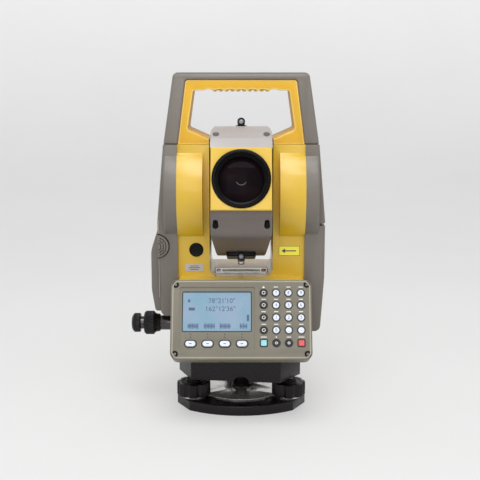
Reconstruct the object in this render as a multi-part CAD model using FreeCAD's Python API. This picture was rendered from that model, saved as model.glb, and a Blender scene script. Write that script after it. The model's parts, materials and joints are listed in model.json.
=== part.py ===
import FreeCAD, Part
import math
import os

from FreeCAD import Placement, Rotation, Vector

# A surveying total station: a tribrach that screws to a tripod, an alidade that turns on it about the
# vertical axis, and a telescope that tilts between the alidade's two pillars.
# Millimetres. The origin is on the vertical axis, at the underside of the base plate. +Z is up, the
# keyboard and the objective face -Y, and the battery is on the -X side.

os.makedirs("parts", exist_ok=True)

# Driving dimensions
HEIGHT = 336.0
TRUNNION_Z = 218.0
TELESCOPE_PITCH = 16.0
RUNNING_GAP = 0.05
WALL = 4.0
FAR = 200.0

# Tribrach
PLATE_THICKNESS = 10.0
PLATE_CORNER_REACH = 68.0
PLATE_SIDE_R = 96.0
PLATE_SIDE_REACH = 61.0
THREAD_R = 6.8
FOOT_RADIUS = 56.0
FOOT_ANGLES = {"left": 210, "right": 330, "rear": 90}
FOOT_SOCKET_DEPTH = 4.0
FOOT_KNOB_R = 17.0
FOOT_KNOB_Z = (11.9, 25.4)
FOOT_STUD_R = 4.5
BODY_Z = (31.0, 54.0)
BODY_SIDE_REACH = 47.0
BODY_CORNER_REACH = 62.5
BODY_TURN = -7
SPINDLE_R = 12.0
SIGHT_HOLE_R = 5.0
LEVEL_RADIUS = 57.0
LEVEL_ANGLE = 150 + BODY_TURN
LEVEL_SEAT_Z = 45.0
LEVER_ANGLE = 30 + BODY_TURN
LEVER_Z = 42.0
LEVER_PIN_R = 4.0

# Alidade
HOUSING_Z = (56.0, 136.5)
HOUSING_FLOOR = 6.0
HOUSING_HALF_X = 62.0
HOUSING_Y = (-50.0, 52.0)
PILLAR_TOP = 267.0
PILLAR_OUTER = 62.5
PILLAR_INNER = 31.2
PILLAR_HALF_Y = 35.0
DRUM_R = 54.0
DRUM_INNER = 37.5
SHAFT_R = 12.0
LEVEL_SIZE = (53.0, 21.0, 7.0)
LEVEL_CENTRE_Y = -9.0
PLUMMET_Z = 96.0
PLUMMET_TUBE_R = 7.0
PORT_X = 34.0
PORT_Z = 80.0

# Side cases and battery
CASE_DRUM_OUTER = 75.5
CASE_HALF_Y = 38.0
CASE_TOP = 76.0
CASE_WIDEST = 82.6
CASE_SCREWS = [(-70, 262), (70, 262), (-68, 108), (71, 90)]
BATTERY_Z = (100.0, 184.0)
BATTERY_HALF_Y = 33.0
BATTERY_INNER = 69.0
BATTERY_OUTER = 89.5
LATCH_AT = Vector(-CASE_WIDEST, -CASE_HALF_Y, 167.5)
LATCH_R = 11.0

# Handle, with the grip's outline in (x, z)
GRIP_OUTER = [(-62.0, PILLAR_TOP), (-54.4, 329.0, 3), (54.4, 329.0, 3), (62.0, PILLAR_TOP)]

# Keyboard, in the panel's own frame: x along it, y up its slant, z out of its face
PANEL_SIZE = (135.0, 77.0)
PANEL_SLANT = 24.0
PANEL_TOP_EDGE = Vector(0, -65, 140)
PANEL_PLACE = Placement(PANEL_TOP_EDGE, Rotation(Vector(1, 0, 0), 90 - PANEL_SLANT))
KEYBOARD_UNDERSIDE = 60.0
KEY_R = 2.9
KEY_GAP = 0.1
SOFT_KEY_X = (-48.2, -31.9, -15.6, 0.7)
SOFT_KEY_Y = -61.8
KEYPAD_X = (21.4, 33.3, 45.2, 57.1)
KEYPAD_Y = (-13.0, -24.9, -36.9, -49.0, -61.2)
PANEL_SCREWS = [(x, y) for x in (-62.9, 62.9) for y in (-5.0, -71.6)]
PANEL_HEAD_DEPTH = 1.2
WINDOW = (-55.8, 9.3, -49.7, -12.3)
WINDOW_CORNER_R = 1.0

# Coaxial clamp and tangent knobs
CLAMP_R = 12.0
TANGENT_R = 9.75
SLEEVE_R = 7.5
SLEEVE_DEPTH = 8.0
SCREW_R = 3.5
HORIZONTAL_KNOBS = Vector(-HOUSING_HALF_X, -15, 83.5)
VERTICAL_KNOBS = Vector(-47, PILLAR_HALF_Y, 163)

# Telescope, in its own frame with the trunnion axis through the origin
SCOPE_HALF_X = 29.0
SCOPE_HALF_Z = 30.0
SCOPE_FRONT = -73.5
SCOPE_REAR = 45.0
LIGHT_PATH_START = -20.0
BARREL_R = 28.0
BARREL_BORE_R = 22.0
BARREL_FRONT = SCOPE_FRONT - 1.5
LENS_SEAT = BARREL_FRONT + 15.0
NECK_R = 18.0
NECK_END = 60.5
SPIGOT_R = 10.0
SIGHT_TUBE_R = 3.8


def box(x0, x1, y0, y1, z0, z1):
    return Part.makeBox(x1 - x0, y1 - y0, z1 - z0, Vector(x0, y0, z0))


def layer(z0, z1):
    """Everything between two heights."""
    return box(-FAR, FAR, -FAR, FAR, z0, z1)


def rod(start, end, radius):
    along = end - start
    return Part.makeCylinder(radius, along.Length, start, along)


def post(radius, z0, z1, at=Vector(0, 0, 0)):
    """An upright cylinder between two heights."""
    return Part.makeCylinder(radius, z1 - z0, Vector(at.x, at.y, z0))


def tube(start, end, outer, inner):
    return rod(start, end, outer).cut(rod(start, end, inner))


def joined(shapes):
    whole = shapes[0].multiFuse(shapes[1:])
    return whole.removeSplitter()


def without(shape, tools):
    for tool in tools:
        shape = shape.cut(tool)
    return shape


def polar(radius, angle, z=0.0):
    turn = math.radians(angle)
    return Vector(radius * math.cos(turn), radius * math.sin(turn), z)


def outline_face(corners, place):
    """A face inside straight runs and tangent arcs. A corner is (a, b) or (a, b, radius)."""
    stops = []
    for i, corner in enumerate(corners):
        point = Vector(corner[0], corner[1], 0)
        before = Vector(corners[i - 1][0], corners[i - 1][1], 0) - point
        following = corners[(i + 1) % len(corners)]
        after = Vector(following[0], following[1], 0) - point
        radius = corner[2] if len(corner) > 2 else 0
        if radius == 0:
            stops.append((point, None, point))
            continue
        before.normalize()
        after.normalize()
        half_angle = before.getAngle(after) / 2
        reach = radius / math.tan(half_angle)
        inward = (before + after).normalize()
        middle = point + inward * (radius / math.sin(half_angle) - radius)
        stops.append((point + before * reach, middle, point + after * reach))
    shortest_edge = 1e-6
    edges = []
    for i, (start, middle, end) in enumerate(stops):
        if middle is not None:
            edges.append(Part.Arc(place(start), place(middle), place(end)).toShape())
        next_start = stops[(i + 1) % len(stops)][0]
        if (next_start - end).Length > shortest_edge:
            edges.append(Part.LineSegment(place(end), place(next_start)).toShape())
    return Part.Face(Part.Wire(edges))


def across_x(corners, x0, x1):
    """An outline in (y, z), extruded from x0 to x1."""
    return outline_face(corners, lambda p: Vector(x0, p.x, p.y)).extrude(Vector(x1 - x0, 0, 0))


def across_y(corners, y0, y1):
    """An outline in (x, z), extruded from y0 to y1."""
    return outline_face(corners, lambda p: Vector(p.x, y0, p.y)).extrude(Vector(0, y1 - y0, 0))


def across_z(corners, z0, z1):
    """An outline in (x, y), extruded from z0 to z1."""
    return outline_face(corners, lambda p: Vector(p.x, p.y, z0)).extrude(Vector(0, 0, z1 - z0))


def rectangle(x0, x1, y0, y1, radius):
    return [(x0, y0, radius), (x1, y0, radius), (x1, y1, radius), (x0, y1, radius)]


def mirrored(corners):
    return [(-corner[0],) + tuple(corner[1:]) for corner in reversed(corners)]


def edges_on_plane(shape, axis, value):
    """Edges that lie wholly at one coordinate value."""
    tolerance = 0.01
    found = []
    for edge in shape.Edges:
        bounds = edge.BoundBox
        low, high = {"x": (bounds.XMin, bounds.XMax), "y": (bounds.YMin, bounds.YMax),
                     "z": (bounds.ZMin, bounds.ZMax)}[axis]
        if abs(low - value) < tolerance and abs(high - value) < tolerance:
            found.append(edge)
    return found


# ---------------------------------------------------------------- tribrach

def base_plate():
    """Three bowed sides and three corners cut off flat, with the tripod's thread and three sockets."""
    edge_chamfer = 1.0
    sides = (150, 270, 30)
    cuts = [polar(2 * PLATE_CORNER_REACH, angle) for angle in sides]
    plate = across_z([(point.x, point.y) for point in cuts], 0, PLATE_THICKNESS)
    for angle in sides:
        plate = plate.common(post(PLATE_SIDE_R, 0, PLATE_THICKNESS, polar(PLATE_SIDE_REACH - PLATE_SIDE_R, angle)))
    plate = plate.makeChamfer(edge_chamfer, edges_on_plane(plate, "z", PLATE_THICKNESS))
    sockets = [post(FOOT_STUD_R + RUNNING_GAP, PLATE_THICKNESS - FOOT_SOCKET_DEPTH, PLATE_THICKNESS,
                    polar(FOOT_RADIUS, angle)) for angle in FOOT_ANGLES.values()]
    return without(plate, [post(THREAD_R, 0, PLATE_THICKNESS)] + sockets)


def spring_plate():
    """Thin round plate with an ear over each foot screw; it holds the ball feet in their sockets."""
    low = PLATE_THICKNESS
    high = PLATE_THICKNESS + 1.4
    disc_r = 45.0
    ear_r = 13.0
    centre_hole_r = 11.0
    neck_hole_r = 4.2
    places = [polar(FOOT_RADIUS, angle) for angle in FOOT_ANGLES.values()]
    plate = joined([post(disc_r, low, high)] + [post(ear_r, low, high, place) for place in places])
    return without(plate, [post(centre_hole_r, low, high)]
                   + [post(neck_hole_r, low, high, place) for place in places])


def foot_screw(angle):
    """A ball foot, a thin neck through the spring plate, a scalloped knob and the threaded stud."""
    play = 0.2
    foot_bottom = PLATE_THICKNESS - FOOT_SOCKET_DEPTH + play
    foot_top = PLATE_THICKNESS - play
    neck_r = 3.6
    lobes = 8
    scallop_r = 4.2
    scallop_reach = FOOT_KNOB_R + 2.6
    rim_chamfer = 1.2
    low, high = FOOT_KNOB_Z
    collar_r = 8.0
    collar_top = high + 3.0
    stud_top = BODY_Z[0] + 15.0
    scallops = [post(scallop_r, low, high, polar(scallop_reach, (lobe + 0.5) * 360 / lobes))
                for lobe in range(lobes)]
    knob = without(post(FOOT_KNOB_R, low, high), scallops)
    knob = knob.makeChamfer(rim_chamfer, edges_on_plane(knob, "z", high))
    screw = joined([post(FOOT_STUD_R, foot_bottom, foot_top), post(neck_r, foot_top, low), knob,
                    post(collar_r, high, collar_top), post(FOOT_STUD_R, collar_top, stud_top)])
    screw.translate(polar(FOOT_RADIUS, angle))
    return screw


def tribrach_block():
    """The six-sided block: three long sides, with short ones between them over the foot screws."""
    corner_r = 2.5
    half_side = (BODY_CORNER_REACH - BODY_SIDE_REACH / 2) / math.cos(math.radians(30))
    corners = []
    for angle in (270, 30, 150):
        middle = polar(BODY_SIDE_REACH, angle + BODY_TURN)
        for side in (-1, 1):
            corner = middle + polar(half_side * side, angle + 90 + BODY_TURN)
            corners.append((corner.x, corner.y, corner_r))
    return across_z(corners, *BODY_Z)


def tribrach_body():
    """The casting over the foot screws, with the spindle's socket, its hub and the circular level's lug."""
    low, high = BODY_Z
    lug_r = 11.5
    lug_height = 6.0
    lugs = [post(lug_r, LEVEL_SEAT_Z - lug_height, LEVEL_SEAT_Z, polar(radius, LEVEL_ANGLE))
            for radius in (LEVEL_RADIUS - 9.0, LEVEL_RADIUS)]
    shoulder = post(13.0, low - 4.0, low)
    hub = post(9.0, low - 13.5, low)
    body = joined([tribrach_block(), shoulder, hub] + lugs)

    socket = post(SPINDLE_R + RUNNING_GAP, low, high)
    sight_hole = post(SIGHT_HOLE_R, 0, high)
    stud_bore_depth = 16.0
    stud_bores = [post(FOOT_STUD_R + RUNNING_GAP, low, low + stud_bore_depth, polar(FOOT_RADIUS, angle))
                  for angle in FOOT_ANGLES.values()]
    arch_r = 9.0
    arch_z = low - 4.0
    arch_depth = 12.0
    arch = rod(Vector(0, -BODY_SIDE_REACH - arch_r, arch_z), Vector(0, -BODY_SIDE_REACH + arch_depth, arch_z), arch_r)
    lever_at = Vector(0, 0, LEVER_Z)
    lever_out = polar(1, LEVER_ANGLE)
    lever_hole = rod(lever_at + lever_out * (BODY_SIDE_REACH - 12.0), lever_at + lever_out * (BODY_SIDE_REACH + 1.0),
                     LEVER_PIN_R + RUNNING_GAP)
    return without(body, [socket, sight_hole, arch, lever_hole] + stud_bores)


def clamp_lever():
    """Lever that locks the instrument in the tribrach; it turns about a line out from the axis."""
    at = Vector(0, 0, LEVER_Z)
    out = polar(1, LEVER_ANGLE)
    face = BODY_SIDE_REACH + 0.3
    disc_r = 9.0
    disc_thickness = 6.0
    arm_thickness = 5.0
    arm_length = 21.0
    tip_half = 4.5
    root_half = 6.5
    pin = rod(at + out * (BODY_SIDE_REACH - 11.0), at + out * (face + 1.0), LEVER_PIN_R)
    disc = rod(at + out * face, at + out * (face + disc_thickness), disc_r)
    arm = across_y([(-arm_length, -tip_half, 4), (0, -root_half), (0, root_half), (-arm_length, tip_half, 4)],
                   0, arm_thickness)
    arm.Placement = Placement(at + out * face, Rotation(Vector(0, 0, 1), LEVER_ANGLE - 90))
    return joined([pin, disc, arm])


def circular_level():
    """The round level's case, with a shallow dish for its glass."""
    at = polar(LEVEL_RADIUS, LEVEL_ANGLE)
    top = LEVEL_SEAT_Z + 7.5
    dish_depth = 1.2
    return post(9.5, LEVEL_SEAT_Z, top, at).cut(post(7.0, top - dish_depth, top, at))


# ---------------------------------------------------------------- yoke

def drum(side, inner, outer, radius):
    """A cylinder about the trunnion axis between two distances from the middle, cut level with the pillars."""
    solid = rod(Vector(side * inner, 0, TRUNNION_Z), Vector(side * outer, 0, TRUNNION_Z), radius)
    return solid.common(layer(0, PILLAR_TOP))


def housing_block():
    corner_r = 10.0
    top_edge_r = 3.0
    front, rear = HOUSING_Y
    housing = across_z(rectangle(-HOUSING_HALF_X, HOUSING_HALF_X, front, rear, corner_r), *HOUSING_Z)
    return housing.makeFillet(top_edge_r, edges_on_plane(housing, "z", HOUSING_Z[1]))


def pillar_arch():
    """Both pillars as one shape, open between them down to the housing's top."""
    root = HOUSING_Z[1] - 30.0
    gap_corner_r = 7.0
    gap_floor = HOUSING_Z[1]
    return across_y([(-PILLAR_OUTER, root), (-PILLAR_OUTER, PILLAR_TOP), (-PILLAR_INNER, PILLAR_TOP),
                     (-PILLAR_INNER, gap_floor, gap_corner_r), (PILLAR_INNER, gap_floor, gap_corner_r),
                     (PILLAR_INNER, PILLAR_TOP), (PILLAR_OUTER, PILLAR_TOP), (PILLAR_OUTER, root)],
                    -PILLAR_HALF_Y, PILLAR_HALF_Y)


def yoke_hollows():
    """The room inside the housing, and in each pillar and drum, open towards its side case."""
    low, high = HOUSING_Z
    front, rear = HOUSING_Y
    roof = 9.0
    pillar_floor = high + 6.0
    outside = PILLAR_OUTER + 1.0
    hollows = [box(-HOUSING_HALF_X + WALL, HOUSING_HALF_X - WALL, front + WALL, rear - WALL,
                   low + HOUSING_FLOOR, high - roof)]
    for side in (-1, 1):
        x0, x1 = sorted((side * (PILLAR_INNER + WALL), side * outside))
        hollows.append(box(x0, x1, -PILLAR_HALF_Y + WALL, PILLAR_HALF_Y - WALL, pillar_floor, PILLAR_TOP - WALL))
        hollows.append(drum(side, DRUM_INNER + WALL, outside, DRUM_R - WALL).common(layer(0, PILLAR_TOP - WALL)))
    return hollows


def yoke_bores():
    """The trunnion's bore, the spindle's seat, the vial's pocket and the knobs' sleeve bores."""
    low, high = HOUSING_Z
    trunnion = rod(Vector(-PILLAR_OUTER, 0, TRUNNION_Z), Vector(PILLAR_OUTER, 0, TRUNNION_Z), SHAFT_R + RUNNING_GAP)
    spindle_seat = post(SPINDLE_R, low - 2.0, low + 8.0)
    length, width, depth = LEVEL_SIZE
    play = 0.5
    level_pocket = box(-length / 2 - play, length / 2 + play, LEVEL_CENTRE_Y - width / 2 - play,
                       LEVEL_CENTRE_Y + width / 2 + play, high - depth, high + 1.0)
    sleeve_r = SLEEVE_R + RUNNING_GAP
    bore_depth = SLEEVE_DEPTH + 2.0
    return [trunnion, spindle_seat, level_pocket,
            rod(HORIZONTAL_KNOBS, HORIZONTAL_KNOBS + Vector(bore_depth, 0, 0), sleeve_r),
            rod(VERTICAL_KNOBS, VERTICAL_KNOBS - Vector(0, bore_depth, 0), sleeve_r)]


def yoke_frame():
    """The casting: a hollow lower housing and two hollow pillars with drums about the trunnion."""
    low = HOUSING_Z[0]
    skirt = post(48.0, low - 1.7, low)
    drums = [drum(side, DRUM_INNER, PILLAR_OUTER, DRUM_R) for side in (-1, 1)]
    yoke = without(joined([housing_block(), pillar_arch(), skirt] + drums), yoke_hollows())
    bush_length = 10.0
    bush_r = SHAFT_R + 5.0
    bushes = [rod(Vector(side * PILLAR_INNER, 0, TRUNNION_Z), Vector(side * (PILLAR_INNER + bush_length), 0, TRUNNION_Z),
                  bush_r) for side in (-1, 1)]
    yoke = without(joined([yoke] + bushes), yoke_bores())

    rear_skin = HOUSING_Y[1] - 1.0
    plummet = Vector(0, rear_skin, PLUMMET_Z)
    plummet_collar = rod(plummet, plummet + Vector(0, 7.0, 0), 10.5)
    plummet_tube = rod(plummet, plummet + Vector(0, 21.0, 0), PLUMMET_TUBE_R)
    port = Vector(PORT_X, rear_skin, PORT_Z)
    port_rim = rod(port, port + Vector(0, 5.0, 0), 9.0)
    port_socket = rod(port + Vector(0, 1.0, 0), port + Vector(0, 5.0, 0), 7.0)
    return joined([yoke, plummet_collar, plummet_tube, port_rim]).cut(port_socket)


def plummet_ring():
    """The knurled ring that focuses the sight down to the ground mark."""
    start = Vector(0, HOUSING_Y[1] + 6.2, PLUMMET_Z)
    end = start + Vector(0, 15.5, 0)
    ring = tube(start, end, 12.0, PLUMMET_TUBE_R + RUNNING_GAP)
    return ring.makeChamfer(1.0, edges_on_plane(ring, "y", end.y)[:1])


def plate_level():
    """Long vial in its metal case, sunk in the floor of the gap between the pillars."""
    length, width, depth = LEVEL_SIZE
    proud = 0.6
    edge_chamfer = 0.8
    top = HOUSING_Z[1] + proud
    case = box(-length / 2, length / 2, LEVEL_CENTRE_Y - width / 2, LEVEL_CENTRE_Y + width / 2, top - depth, top)
    return case.makeChamfer(edge_chamfer, edges_on_plane(case, "z", top))


# ---------------------------------------------------------------- side cases

def case_drum(side):
    """The drum's continuation on a side case, with a bevelled outer rim."""
    rim_chamfer = 1.5
    solid = rod(Vector(side * PILLAR_OUTER, 0, TRUNNION_Z), Vector(side * CASE_DRUM_OUTER, 0, TRUNNION_Z), DRUM_R)
    solid = solid.makeChamfer(rim_chamfer, edges_on_plane(solid, "x", side * CASE_DRUM_OUTER))
    return solid.common(layer(0, PILLAR_TOP))


def side_case(side, bottom, bottom_x):
    """A case that leans out to its widest line and in again to the pillar's top."""
    bottom_corner_r = 6.0
    widest_z = (bottom + 55.0, 192.0)
    edge_r = 3.0
    corners = [(PILLAR_OUTER, bottom), (bottom_x, bottom, bottom_corner_r), (CASE_WIDEST, widest_z[0]),
               (CASE_WIDEST, widest_z[1]), (CASE_TOP, PILLAR_TOP), (PILLAR_OUTER, PILLAR_TOP)]
    case = across_y(corners if side > 0 else mirrored(corners), -CASE_HALF_Y, CASE_HALF_Y)
    outer_edges = []
    for edge in case.Edges:
        bounds = edge.BoundBox
        flat = bounds.YMax - bounds.YMin < 0.01
        outside = min(abs(bounds.XMin), abs(bounds.XMax)) > PILLAR_OUTER + 9.0
        if flat and outside:
            outer_edges.append(edge)
    return joined([case.makeFillet(edge_r, outer_edges), case_drum(side)])


def right_case():
    bottom = 80.0
    case = side_case(1, bottom, 79.0)
    hollow = box(PILLAR_OUTER, CASE_TOP - WALL, -CASE_HALF_Y + WALL, CASE_HALF_Y - WALL, bottom + WALL,
                 PILLAR_TOP - WALL)
    notch_depth = 5.5
    notch_z = 189.0
    notch_half = 1.5
    notch = layer(notch_z - notch_half, notch_z + notch_half)
    notch = notch.common(box(CASE_WIDEST - notch_depth, FAR, -FAR, FAR, 0, HEIGHT))
    return without(case, [hollow, notch])


def left_case():
    case = side_case(-1, 96.0, 80.0)
    bay = box(-FAR, -BATTERY_INNER, -BATTERY_HALF_Y, BATTERY_HALF_Y, *BATTERY_Z)
    rib = 3.0
    hollow = box(-CASE_TOP + WALL, -PILLAR_OUTER, -CASE_HALF_Y + WALL, CASE_HALF_Y - WALL,
                 BATTERY_Z[1] + rib, PILLAR_TOP - WALL)
    latch_pocket = rod(LATCH_AT, LATCH_AT + Vector(0, 3.2, 0), LATCH_R + 0.3)
    return without(case, [bay, hollow, latch_pocket])


def battery_pack():
    """A slab in the left case's bay, with a bowed outer face that stands proud of the case."""
    gap = 0.3
    low = BATTERY_Z[0] + gap
    high = BATTERY_Z[1] - gap
    inner = -BATTERY_INNER - gap
    corners = [(inner, low), (inner, high), (-CASE_WIDEST, high), (-BATTERY_OUTER, high - 21.7, 30),
               (-BATTERY_OUTER, low + 21.7, 60), (-BATTERY_OUTER + 3.5, low, 3)]
    return across_y(corners, -BATTERY_HALF_Y + gap, BATTERY_HALF_Y - gap)


def battery_latch():
    """Half-round thumb catch beside the battery on the front of the left case, with three grip grooves."""
    proud = 2.2
    sunk = 1.0
    gap = 0.3
    face = LATCH_AT.y - proud
    disc = rod(Vector(LATCH_AT.x, face, LATCH_AT.z), LATCH_AT + Vector(0, sunk, 0), LATCH_R)
    latch = disc.common(box(LATCH_AT.x + gap, 0, -FAR, FAR, 0, HEIGHT))
    grooves = 3
    groove_pitch = 2.4
    groove_width = 0.8
    groove_depth = 0.6
    for groove in range(grooves):
        x = LATCH_AT.x + 3.0 + groove_pitch * groove
        latch = latch.cut(box(x, x + groove_width, face - 1.0, face + groove_depth, 0, HEIGHT))
    return latch


# ---------------------------------------------------------------- handle

def handle_profile(half_top, half_bottom):
    """The handle seen from the side: deep at its foot, slimmer at the grip."""
    top_edge_r = 4.0
    return across_x([(-half_bottom, PILLAR_TOP), (-half_top, HEIGHT, top_edge_r), (half_top, HEIGHT, top_edge_r),
                     (half_bottom, PILLAR_TOP)], -FAR, FAR)


def handle_shell():
    """The grey outer hoop, from one side case over to the other."""
    top_half_x = 66.4
    corner_r = 5.0
    outer = across_y([(-CASE_TOP, PILLAR_TOP), (-top_half_x, HEIGHT, corner_r), (top_half_x, HEIGHT, corner_r),
                      (CASE_TOP, PILLAR_TOP)], -FAR, FAR)
    return outer.common(handle_profile(20.0, 31.0)).cut(across_y(GRIP_OUTER, -FAR, FAR))


def handle_grip():
    """The inner frame with the finger opening; its feet slope in over the pillars."""
    foot_half = 31.4
    opening = across_y([(-46.9, 318.7, 2), (46.9, 318.7, 2), (52.4, 281.2, 3), (foot_half, 271.9, 1),
                        (foot_half, PILLAR_TOP - 1), (-foot_half, PILLAR_TOP - 1), (-foot_half, 271.9, 1),
                        (-52.4, 281.2, 3)], -FAR, FAR)
    ridges = 7
    ridge_pitch = 10.6
    ridge_r = 10.4
    ridge_z = 309.5
    hollows = []
    for ridge in range(ridges):
        x = (ridge - (ridges - 1) / 2) * ridge_pitch
        hollows.append(rod(Vector(x, -FAR, ridge_z), Vector(x, FAR, ridge_z), ridge_r))
    grip = across_y(GRIP_OUTER, -FAR, FAR).common(handle_profile(18.5, 29.5))
    return without(grip, [opening] + hollows)


# ---------------------------------------------------------------- inside the housing

def main_spindle():
    """Hollow shaft of the vertical axis with the flange that carries the housing."""
    floor = HOUSING_Z[0] + HOUSING_FLOOR
    flange_top = floor + 4.0
    shaft = post(SPINDLE_R, BODY_Z[0] + 2.0, floor)
    flange = post(38.0, floor, flange_top)
    hub = post(14.0, flange_top, flange_top + 12.0)
    return joined([shaft, flange, hub]).cut(post(SIGHT_HOLE_R, 0, HEIGHT))


def horizontal_circle():
    """The graduated glass disc that the horizontal angle is read from."""
    low = HOUSING_Z[0] + 13.0
    high = low + 3.0
    return post(42.0, low, high).cut(post(14.0, low, high))


def knob_pair(start, out):
    """A clamp ring on its sleeve and, through it, a tangent screw with its knob."""
    ring_start = 26.5
    ring_end = 37.0
    spacer_start = ring_end + 0.2
    knob_start = 40.8
    knob_end = 48.0
    cap_end = 50.0

    def piece(begin, end, radius):
        return rod(start + out * begin, start + out * end, radius)

    clamp = joined([piece(-SLEEVE_DEPTH, ring_start, SLEEVE_R), piece(ring_start, ring_end, CLAMP_R)])
    clamp = clamp.cut(piece(-SLEEVE_DEPTH, ring_end, SCREW_R + RUNNING_GAP))
    tangent = joined([piece(2.0 - SLEEVE_DEPTH, spacer_start, SCREW_R), piece(spacer_start, knob_start, 6.5),
                      piece(knob_start, knob_end, TANGENT_R), piece(knob_end, cap_end, 7.0)])
    return clamp, tangent


# ---------------------------------------------------------------- keyboard

def on_panel(shape):
    """From the panel's own frame to the instrument's."""
    shape.Placement = PANEL_PLACE.multiply(shape.Placement)
    return shape


def to_panel(shape):
    """The other way round: from the instrument's frame to the panel's."""
    shape.Placement = PANEL_PLACE.inverse().multiply(shape.Placement)
    return shape


def key_shape(x, y, kind, grow=0.0):
    """The outline of one key as a solid from the panel's face inwards; grow widens it to its hole."""
    if kind == "soft":
        half_x = 4.8 + grow
        half_y = 2.6 + grow
        end_r = half_y - 0.01
        return across_z(rectangle(x - half_x, x + half_x, y - half_y, y + half_y, end_r), -WALL, 0)
    if kind == "square":
        half = 2.7 + grow
        corner_r = 0.8
        return across_z(rectangle(x - half, x + half, y - half, y + half, corner_r), -WALL, 0)
    return post(KEY_R + grow, -WALL, 0, Vector(x, y, 0))


def key_layout():
    """Name, place and kind of every key: four soft keys, then the keypad row by row."""
    keys = [("soft_key_%d" % (i + 1), x, SOFT_KEY_Y, "soft") for i, x in enumerate(SOFT_KEY_X)]
    for row, y in enumerate(KEYPAD_Y):
        for column, x in enumerate(KEYPAD_X):
            square = row == len(KEYPAD_Y) - 1 and column in (0, len(KEYPAD_X) - 1)
            kind = "square" if square else "round"
            keys.append(("key_%s%d" % ("abcde"[row], column + 1), x, y, kind))
    return keys


def key(x, y, kind):
    """A cap that stands a little proud, a flange that keeps it behind the panel and a stem to its switch."""
    at = Vector(x, y, 0)
    proud = 1.0
    edge_chamfer = 0.35
    flange_r = 6.0 if kind == "soft" else KEY_R + 1.6
    flange_low = -WALL - 1.2
    stem_r = 1.6
    stem_low = -WALL - 2.6
    cap = key_shape(x, y, kind)
    cap = joined([cap, cap.translated(Vector(0, 0, proud))])
    cap = cap.makeChamfer(edge_chamfer, edges_on_plane(cap, "z", proud))
    return on_panel(joined([cap, post(flange_r, flange_low, -WALL, at), post(stem_r, stem_low, flange_low, at)]))


def keyboard_block():
    """The housing's block with its inside cut out, and a pad behind each corner screw."""
    width, length = PANEL_SIZE
    corner_r = 7.0
    face_edge_r = 1.2
    deep = 70.0
    pad_r = 4.5
    pad_low = -12.0
    pad_high = -WALL
    block = across_z(rectangle(-width / 2, width / 2, -length, 0, corner_r), -deep, 0)
    block = block.makeFillet(face_edge_r, edges_on_plane(block, "z", 0))
    inside = across_z(rectangle(-width / 2 + WALL, width / 2 - WALL, -length + WALL, -WALL, corner_r - 3.0),
                      -deep - 1.0, -WALL)
    inside = inside.cut(to_panel(layer(0, KEYBOARD_UNDERSIDE + WALL)))
    pads = [post(pad_r, pad_low, pad_high, Vector(x, y, 0)).common(block) for x, y in PANEL_SCREWS]
    return joined([block.cut(inside)] + pads)


def keyboard_housing():
    bezel_depth = 1.0
    bezel = across_z(rectangle(-59.2, 13.0, -67.9, -7.3, 2.0), -bezel_depth, 1.0)
    window_hole = across_z(rectangle(*WINDOW, WINDOW_CORNER_R), -WALL - 1.0, 1.0)
    tools = [bezel, window_hole]
    for _, x, y, kind in key_layout():
        hole = key_shape(x, y, kind, KEY_GAP)
        tools.append(hole.fuse(hole.translated(Vector(0, 0, 1))))
    head_hole_r = 2.4
    pilot_r = 1.2
    pilot_low = -10.0
    for x, y in PANEL_SCREWS:
        at = Vector(x, y, 0)
        tools.append(post(head_hole_r, -PANEL_HEAD_DEPTH, 1.0, at))
        tools.append(post(pilot_r, pilot_low, 1.0, at))
    housing = on_panel(without(keyboard_block(), tools))
    behind = box(-FAR, FAR, HOUSING_Y[0], FAR, 0, HEIGHT)
    return without(housing, [behind, layer(0, KEYBOARD_UNDERSIDE)])


def display_window():
    sunk = 1.5
    return on_panel(across_z(rectangle(*WINDOW, WINDOW_CORNER_R), -WALL, -sunk))


def circuit_board():
    thickness = 1.6
    back = -9.6
    return on_panel(across_z(rectangle(-56, 57, -68, -9, 2.0), back, back + thickness))


def panel_screw(x, y):
    """A small cross-headed screw, sunk in the panel's corner."""
    at = Vector(x, y, 0)
    head_r = 2.3
    head_high = -0.1
    slot_low = -0.7
    slot_half = 0.3
    slot_reach = 1.5
    shank_r = 1.2
    shank_low = -9.0
    head = post(head_r, -PANEL_HEAD_DEPTH, head_high, at)
    for half_x, half_y in ((slot_reach, slot_half), (slot_half, slot_reach)):
        head = head.cut(box(x - half_x, x + half_x, y - half_y, y + half_y, slot_low, 0))
    return on_panel(joined([head, post(shank_r, shank_low, -PANEL_HEAD_DEPTH, at)]))


def case_screw(x, z):
    """A slotted screw head at the back of a side case."""
    head_r = 3.0
    head_height = 1.5
    slot_reach = 2.0
    slot_half = 0.4
    slot_floor = CASE_HALF_Y + 0.7
    head = rod(Vector(x, CASE_HALF_Y, z), Vector(x, CASE_HALF_Y + head_height, z), head_r)
    return head.cut(box(x - slot_reach, x + slot_reach, slot_floor, FAR, z - slot_half, z + slot_half))


def cover_screws():
    """The four corner screws of the keyboard and four at the back of the side cases."""
    return Part.makeCompound([panel_screw(x, y) for x, y in PANEL_SCREWS]
                             + [case_screw(x, z) for x, z in CASE_SCREWS])


# ---------------------------------------------------------------- telescope

def scope_placed(shape):
    """From the telescope's own frame to the instrument's, pitched up about the trunnion axis."""
    place = Placement(Vector(0, 0, TRUNNION_Z), Rotation(Vector(1, 0, 0), -TELESCOPE_PITCH))
    shape.Placement = place.multiply(shape.Placement)
    return shape


def scope_rod(start, end, radius, z=0.0):
    """A cylinder along the telescope between two distances behind the trunnion axis."""
    return rod(Vector(0, start, z), Vector(0, end, z), radius)


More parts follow.
